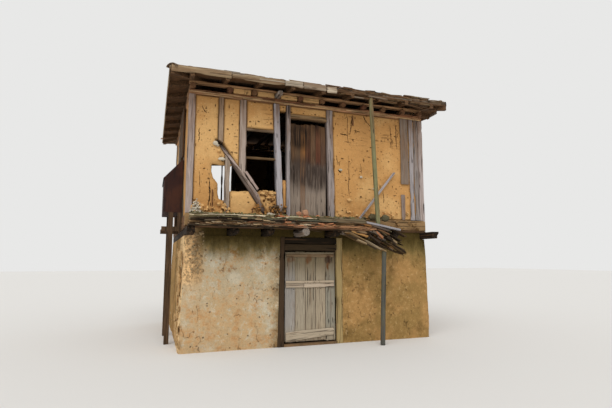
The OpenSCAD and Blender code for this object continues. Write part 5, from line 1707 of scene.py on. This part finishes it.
def lower_door():
    """Boards with open joints, a ledge split lengthwise in the middle and a wide worn one
    at the foot that hangs down to the left."""
    points = solids("lower_door")[0]
    low, high = points.min(0), points.max(0)
    ledge_front, board_front = np.unique(np.round(points[:, Y], 4))[:2]
    leaf = Skin(101, spread=0.03)
    draw = leaf.random.uniform
    tints = ((166, 158, 148), (174, 160, 138), (164, 150, 128), (176, 160, 136), (156, 150, 134))
    foot = points[np.abs(points[:, Z] - low[Z]) < 1e-3]
    add_box(leaf, [low[X] + 0.004, board_front + 0.007, low[Z] + 0.02],
            [high[X] - 0.004, high[Y] - 0.004, high[Z] - 0.02], Z, Y, wear=0.002, rough=0.001,
            shade=0.9, tint=(104, 90, 74))
    gap = 0.0015
    for (x0, x1), tint in zip(pairs(foot[:, X]), tints):
        a = [x0 + gap, board_front + draw(0, 0.004), low[Z] + draw(0, 0.02)]
        b = [x1 - gap, high[Y], high[Z] - draw(0, 0.012)]
        add_box(leaf, a, b, Z, Y, wear=0.0022, rough=0.0008, jag=(0.02, 0.004), cell=0.05,
                tint=tint, shade=0.9, split=0.003)
    ledge = points[np.abs(points[:, Y] - ledge_front) < 1e-3]
    x0, x1 = ledge[:, X].min(), ledge[:, X].max()
    (_, foot_top), middle, head = pairs(ledge[:, Z])
    slant = box_corners([x0, ledge_front, 0], [x1, board_front, 0], X, Y)
    slant[..., Z] = np.array([(0.078, 0.262), (0.150, 0.312)])[:, None]
    add_timber(leaf, slant, wear=0.008, rough=0.003, jag=(0.01, 0.02), cell=0.04,
               tint=(176, 160, 138), split=0.005)
    middle = middle + np.array([-0.022, 0.012])
    cut = middle[0] + 0.60 * (middle[1] - middle[0])
    step = x0 + 0.36 * (x1 - x0)
    whole = {"wear": 0.0035, "rough": 0.0015}
    torn = {"wear": 0.004, "rough": 0.002, "jag": (0.01, 0.02)}
    for a, z0, b, z1, tint, settings in (
            (x0, cut, x1, middle[1], (190, 172, 148), whole),
            (x0, middle[0], step, cut - 0.003, (172, 156, 136), whole),
            (step + 0.01, middle[0] - 0.006, x1, cut - 0.003, (188, 171, 150), whole),
            (x0, head[0], x1, head[1] - 0.034, (128, 100, 76), torn),
            (x0, head[1] - 0.033, x1, head[1], (184, 168, 150), torn)):
        add_box(leaf, [a, ledge_front, z0], [b, board_front, z1], X, Y, cell=0.05, tint=tint,
                split=0.003, **settings)
    shape, quads = lump(2, 0.9, 0.1, 5)
    shape = shape * [0.007, 0.004, 0.007]
    for z in (*middle, *head, foot_top):
        x = draw(x0 + 0.05, x1 - 0.05, 4)
        places = np.stack([x, x * 0 + ledge_front, x * 0 + z - 0.03], -1)
        axes = np.broadcast_to(np.eye(3), (4, 3, 3))
        leaf.scatter(shape, quads, places, axes, x * 0 + 0.5, (52, 36, 28))
    leaf.piece("door_boards", lower_door_wood, "door_wood", "lower_door", body="door_leaf")


def upper_door():
    """Seven boards of different browns with open joints, and the ledges behind them."""
    points = solids("upper_door")[0]
    low, high = points.min(0), points.max(0)
    board_front, board_back = np.unique(np.round(points[:, Y], 4))[:2]
    skin = Skin(102, spread=0.04)
    draw = skin.random.uniform
    tints = (((80, 62, 46), 0.9), ((92, 72, 54), 0.8), ((138, 92, 50), 0.1),
             ((82, 50, 36), 0.9), ((106, 80, 60), 1.0), ((92, 54, 40), 0.9),
             ((88, 66, 52), 1.0))
    head = points[np.abs(points[:, Z] - high[Z]) < 1e-3]
    add_box(skin, [low[X] + 0.004, board_front + 0.008, low[Z] + 0.02],
            [high[X] - 0.004, board_back - 0.004, high[Z] - 0.06], Z, Y, wear=0.002,
            rough=0.001, shade=0.9, tint=(62, 48, 38))
    for (x0, x1), (tint, keep) in zip(pairs(head[:, X]), tints):
        mine = points[(points[:, X] > x0 - 1e-3) & (points[:, X] < x1 + 1e-3)
                      & (points[:, Y] < board_back - 1e-3)]
        a = [x0 + 0.0005, board_front + draw(0, 0.004), mine[:, Z].min()]
        b = [x1 - 0.0005, board_back, high[Z] - draw(0, 0.05)]
        add_box(skin, a, b, Z, Y, wear=0.002, rough=0.0008, jag=(0.0, 0.03), cell=0.06,
                tint=tint, shade=keep, split=0.003)
    ledge = points[np.abs(points[:, Y] - high[Y]) < 1e-3]
    for z0, z1 in pairs(ledge[:, Z]):
        add_box(skin, [ledge[:, X].min(), board_back, z0], [ledge[:, X].max(), high[Y], z1],
                X, Y, tint="dark_wood")
    skin.piece("upper_door_boards", upper_door_wood, "brown_wood", "upper_door")


class HOUSE_OT_doors(bpy.types.Operator):
    """Builds the boards of the two doors, the posts and the ironwork"""

    bl_idname = "house.doors"
    bl_label = "Doors"

    def execute(self, context):
        lower_door()
        upper_door()
        worn("worn_door_posts", "door_posts", 103, Z, Y, slot="brown_wood", spread=0.04,
             tints=((70, 54, 38), (160, 138, 94)), split=0.008, rough=0.005, cell=0.05)
        # Painted shade: the boards over the door are dark brown, darkened further for the shadow
        # under the ledge.
        worn("worn_over_door_boards", "over_door_boards", 104, X, Y, slot="brown_wood",
             tints=((62, 50, 34), (36, 29, 19)), wear=0.004)
        dress(rusty_iron, "door_straps", "door_pintles")
        return {"FINISHED"}


class HOUSE_OT_closet(bpy.types.Operator):
    """Dresses the rusty closet and the boards above it"""

    bl_idname = "house.closet"
    bl_label = "Side closet"

    def execute(self, context):
        dress(rusty_sheet, "side_closet")
        worn("worn_wall_boards", "left_wall_boards", 111, Z, X, slot="brown_wood",
             tints=("dark_wood",), wear=0.003, jag=(0.05, 0.0))
        dress(closet_wood, "closet_frame")
        return {"FINISHED"}


def crack(skin, path, width):
    """A ribbon along a path on the wall's face. Its middle line wanders with noise, and
    its width swells and dies away at both ends, w = width * sqrt(4 s (1 - s))."""
    seed = int(skin.random.integers(1, 999))
    s = np.linspace(0, 1, 40)
    knots = np.linspace(0, 1, len(path))
    spot = np.stack([s * 6, s * 0, s * 0 + seed], -1)
    x = np.interp(s, knots, path[:, 0]) + 0.010 * rough_noise(spot, 1.3, 3, seed)
    z = np.interp(s, knots, path[:, 1]) + 0.006 * rough_noise(spot, 1.7, 3, seed + 2)
    half = width / 2 * np.sqrt(4 * s * (1 - s)) * (1 + 0.9 * rough_noise(spot, 4, 2, seed + 4))
    way = np.stack([np.gradient(x), np.gradient(z)], -1)
    way /= norm(way, axis=1)[:, None]
    side = np.stack([half, -half], 1)
    a, b = x[:, None] + side * way[:, 1:], z[:, None] - side * way[:, :1]
    outer = corner("front_infill_right", 0)[Y]
    top = np.stack([a, outer + upper_relief(a, b, outer) - 0.003, b], -1)
    points, quads = slab(top, top + [0, 0.012, 0])
    skin.add(points, quads)


class HOUSE_OT_cracks(bpy.types.Operator):
    """Draws the deep cracks, slits and laths of the upper front"""

    bl_idname = "house.cracks"
    bl_label = "Cracks"

    def execute(self, context):
        skin = Skin(121, (58, 38, 22), 0.05)
        for *path, width in (
                (0.71, 3.74, 0.72, 3.30, 0.70, 3.12, 0.72, 2.86, 0.010),
                (0.66, 4.62, 0.70, 4.50, 0.69, 4.20, 0.71, 3.98, 0.008),
                (1.70, 4.48, 1.71, 4.30, 1.72, 4.12, 1.71, 3.97, 0.014),
                (0.84, 4.27, 0.90, 4.265, 0.95, 4.255, 0.98, 4.25, 0.014),
                (1.50, 3.02, 1.505, 2.92, 1.51, 2.84, 1.515, 2.78, 0.012),
                (0.62, 4.02, 0.68, 4.01, 0.73, 4.00, 0.78, 4.00, 0.008),
                (-2.26, 4.44, -2.24, 4.38, -2.20, 4.33, -2.17, 4.30, 0.014),
                (-2.10, 2.94, -2.08, 2.78, -2.10, 2.62, -2.08, 2.48, 0.012),
                (-2.28, 3.20, -2.26, 3.08, -2.27, 2.98, -2.25, 2.90, 0.008),
                (1.10, 4.50, 1.16, 4.47, 1.20, 4.44, 1.22, 4.40, 0.012),
                (1.86, 4.40, 1.90, 4.34, 1.88, 4.28, 1.90, 4.20, 0.010),
                (0.98, 3.58, 0.99, 3.50, 1.00, 3.42, 0.99, 3.36, 0.008),
                (0.80, 4.60, 0.79, 4.48, 0.77, 4.32, 0.75, 4.18, 0.018),
                (0.53, 4.172, 0.58, 4.168, 0.64, 4.16, 0.69, 4.158, 0.022),
                (1.06, 4.62, 1.09, 4.57, 1.12, 4.52, 1.14, 4.47, 0.018),
                (1.83, 4.54, 1.85, 4.36, 1.84, 4.15, 1.86, 3.95, 0.016),
                (0.48, 3.41, 0.50, 3.39, 0.52, 3.37, 0.535, 3.355, 0.024),
                (-2.29, 4.02, -2.30, 3.92, -2.295, 3.83, -2.305, 3.74, 0.012),
                (-2.09, 3.07, -2.085, 2.93, -2.075, 2.80, -2.07, 2.65, 0.018),
                (0.44, 3.71, 0.45, 3.64, 0.455, 3.58, 0.46, 3.51, 0.010)):
            crack(skin, np.array(path).reshape(4, 2), width)
        for x, z, tall in ((-2.045, 2.46, 0.42), (0.80, 4.36, 0.24), (-1.30, 2.46, 0.10)):
            add_box(skin, [x, FRONT - 0.004, z], [x + 0.028, FRONT + 0.02, z + tall], Z, Y,
                    wear=0.004, jag=(0.02, 0.04), cell=0.04, tint=(112, 76, 52))
        skin.piece("wall_cracks", rubble, "adobe")
        return {"FINISHED"}


def backdrop(scene):
    """White light all round, and a pale backdrop where the camera or a gloss looks."""
    scene.world = bpy.data.worlds.new("studio")
    scene.world.use_nodes = True
    tree = scene.world.node_tree
    tree.nodes.clear()
    light, seen, path, both, pick, out = (tree.nodes.new("ShaderNode" + kind) for kind in (
        "Background", "Background", "LightPath", "Math", "MixShader", "OutputWorld"))
    light.inputs[0].default_value = (1.0, 1.0, 1.0, 1)
    light.inputs[1].default_value = 0.75
    seen.inputs[0].default_value = (*paint("sky"), 1)
    both.operation = "MAXIMUM"
    for start, end in ((path.outputs["Is Camera Ray"], both.inputs[0]),
                       (path.outputs["Is Glossy Ray"], both.inputs[1]),
                       (both.outputs[0], pick.inputs[0]), (light.outputs[0], pick.inputs[1]),
                       (seen.outputs[0], pick.inputs[2]), (pick.outputs[0], out.inputs[0])):
        tree.links.new(start, end)


class HOUSE_OT_stage(bpy.types.Operator):
    """Sets the camera, the pale floor, the backdrop and the soft light"""

    bl_idname = "house.stage"
    bl_label = "Stage"

    def execute(self, context):
        scene = context.scene
        focal_pixels, picture_w = 435.0, 612.0
        data = bpy.data.cameras.new("camera")
        data.sensor_width = 36.0
        data.lens = 36.0 * focal_pixels / picture_w
        data.clip_end = 200.0
        camera = bpy.data.objects.new("camera", data)
        camera.location = (-3.039, -10.044, 1.60)
        camera.rotation_euler = (math.radians(90 + 7.3), 0, -math.radians(19.5))
        scene.camera = camera
        scene.view_settings.view_transform = "Standard"
        size = 60.0
        mesh = bpy.data.meshes.new("studio_floor")
        mesh.from_pydata([(-size, -size, 0), (size, -size, 0), (size, size, 0), (-size, size, 0)],
                         [], [(0, 1, 2, 3)])
        mesh.materials.append(Finish("studio_floor", "floor").done(0.9))
        floor = bpy.data.objects.new("studio_floor", mesh)
        lamp_data = bpy.data.lights.new("soft_sun", "SUN")
        lamp_data.energy = 1.6
        lamp_data.angle = math.radians(50)
        lamp = bpy.data.objects.new("soft_sun", lamp_data)
        lamp.rotation_euler = (math.radians(38), 0, math.radians(-25))
        for made in (camera, floor, lamp):
            scene.collection.objects.link(made)
        backdrop(scene)
        return {"FINISHED"}


class HOUSE_PT_panel(bpy.types.Panel):
    """Lists the house's pieces and sizes"""

    bl_idname = "HOUSE_PT_panel"
    bl_label = "Adobe house"
    bl_space_type = "VIEW_3D"
    bl_region_type = "UI"
    bl_category = "House"

    def draw(self, context):
        for operator in OPERATORS:
            self.layout.operator(operator.bl_idname)
        for group in (context.scene.house_sizes, context.scene.house_colours):
            for name in group.__annotations__:
                self.layout.prop(group, name)


OPERATORS = (
    HOUSE_OT_stage, HOUSE_OT_lower_walls, HOUSE_OT_upper_walls, HOUSE_OT_cracks,
    HOUSE_OT_front_timbers, HOUSE_OT_beams, HOUSE_OT_ledge, HOUSE_OT_rubble, HOUSE_OT_roof,
    HOUSE_OT_eave, HOUSE_OT_doors, HOUSE_OT_closet,
)
CLASSES = (HouseSizes, HouseColours, *OPERATORS, HOUSE_PT_panel)


def register():
    for cls in CLASSES:
        bpy.utils.register_class(cls)
    bpy.types.Scene.house_sizes = bpy.props.PointerProperty(type=HouseSizes)
    bpy.types.Scene.house_colours = bpy.props.PointerProperty(type=HouseColours)


def unregister():
    del bpy.types.Scene.house_colours
    del bpy.types.Scene.house_sizes
    for cls in reversed(CLASSES):
        bpy.utils.unregister_class(cls)


def main():
    register()
    bpy.ops.house.stage()
    bpy.ops.house.lower_walls()
    bpy.ops.house.upper_walls()
    bpy.ops.house.cracks()
    bpy.ops.house.front_timbers()
    bpy.ops.house.beams()
    bpy.ops.house.ledge()
    bpy.ops.house.rubble()
    bpy.ops.house.roof()
    bpy.ops.house.eave()
    bpy.ops.house.doors()
    bpy.ops.house.closet()


if __name__ == "__main__":
    main()
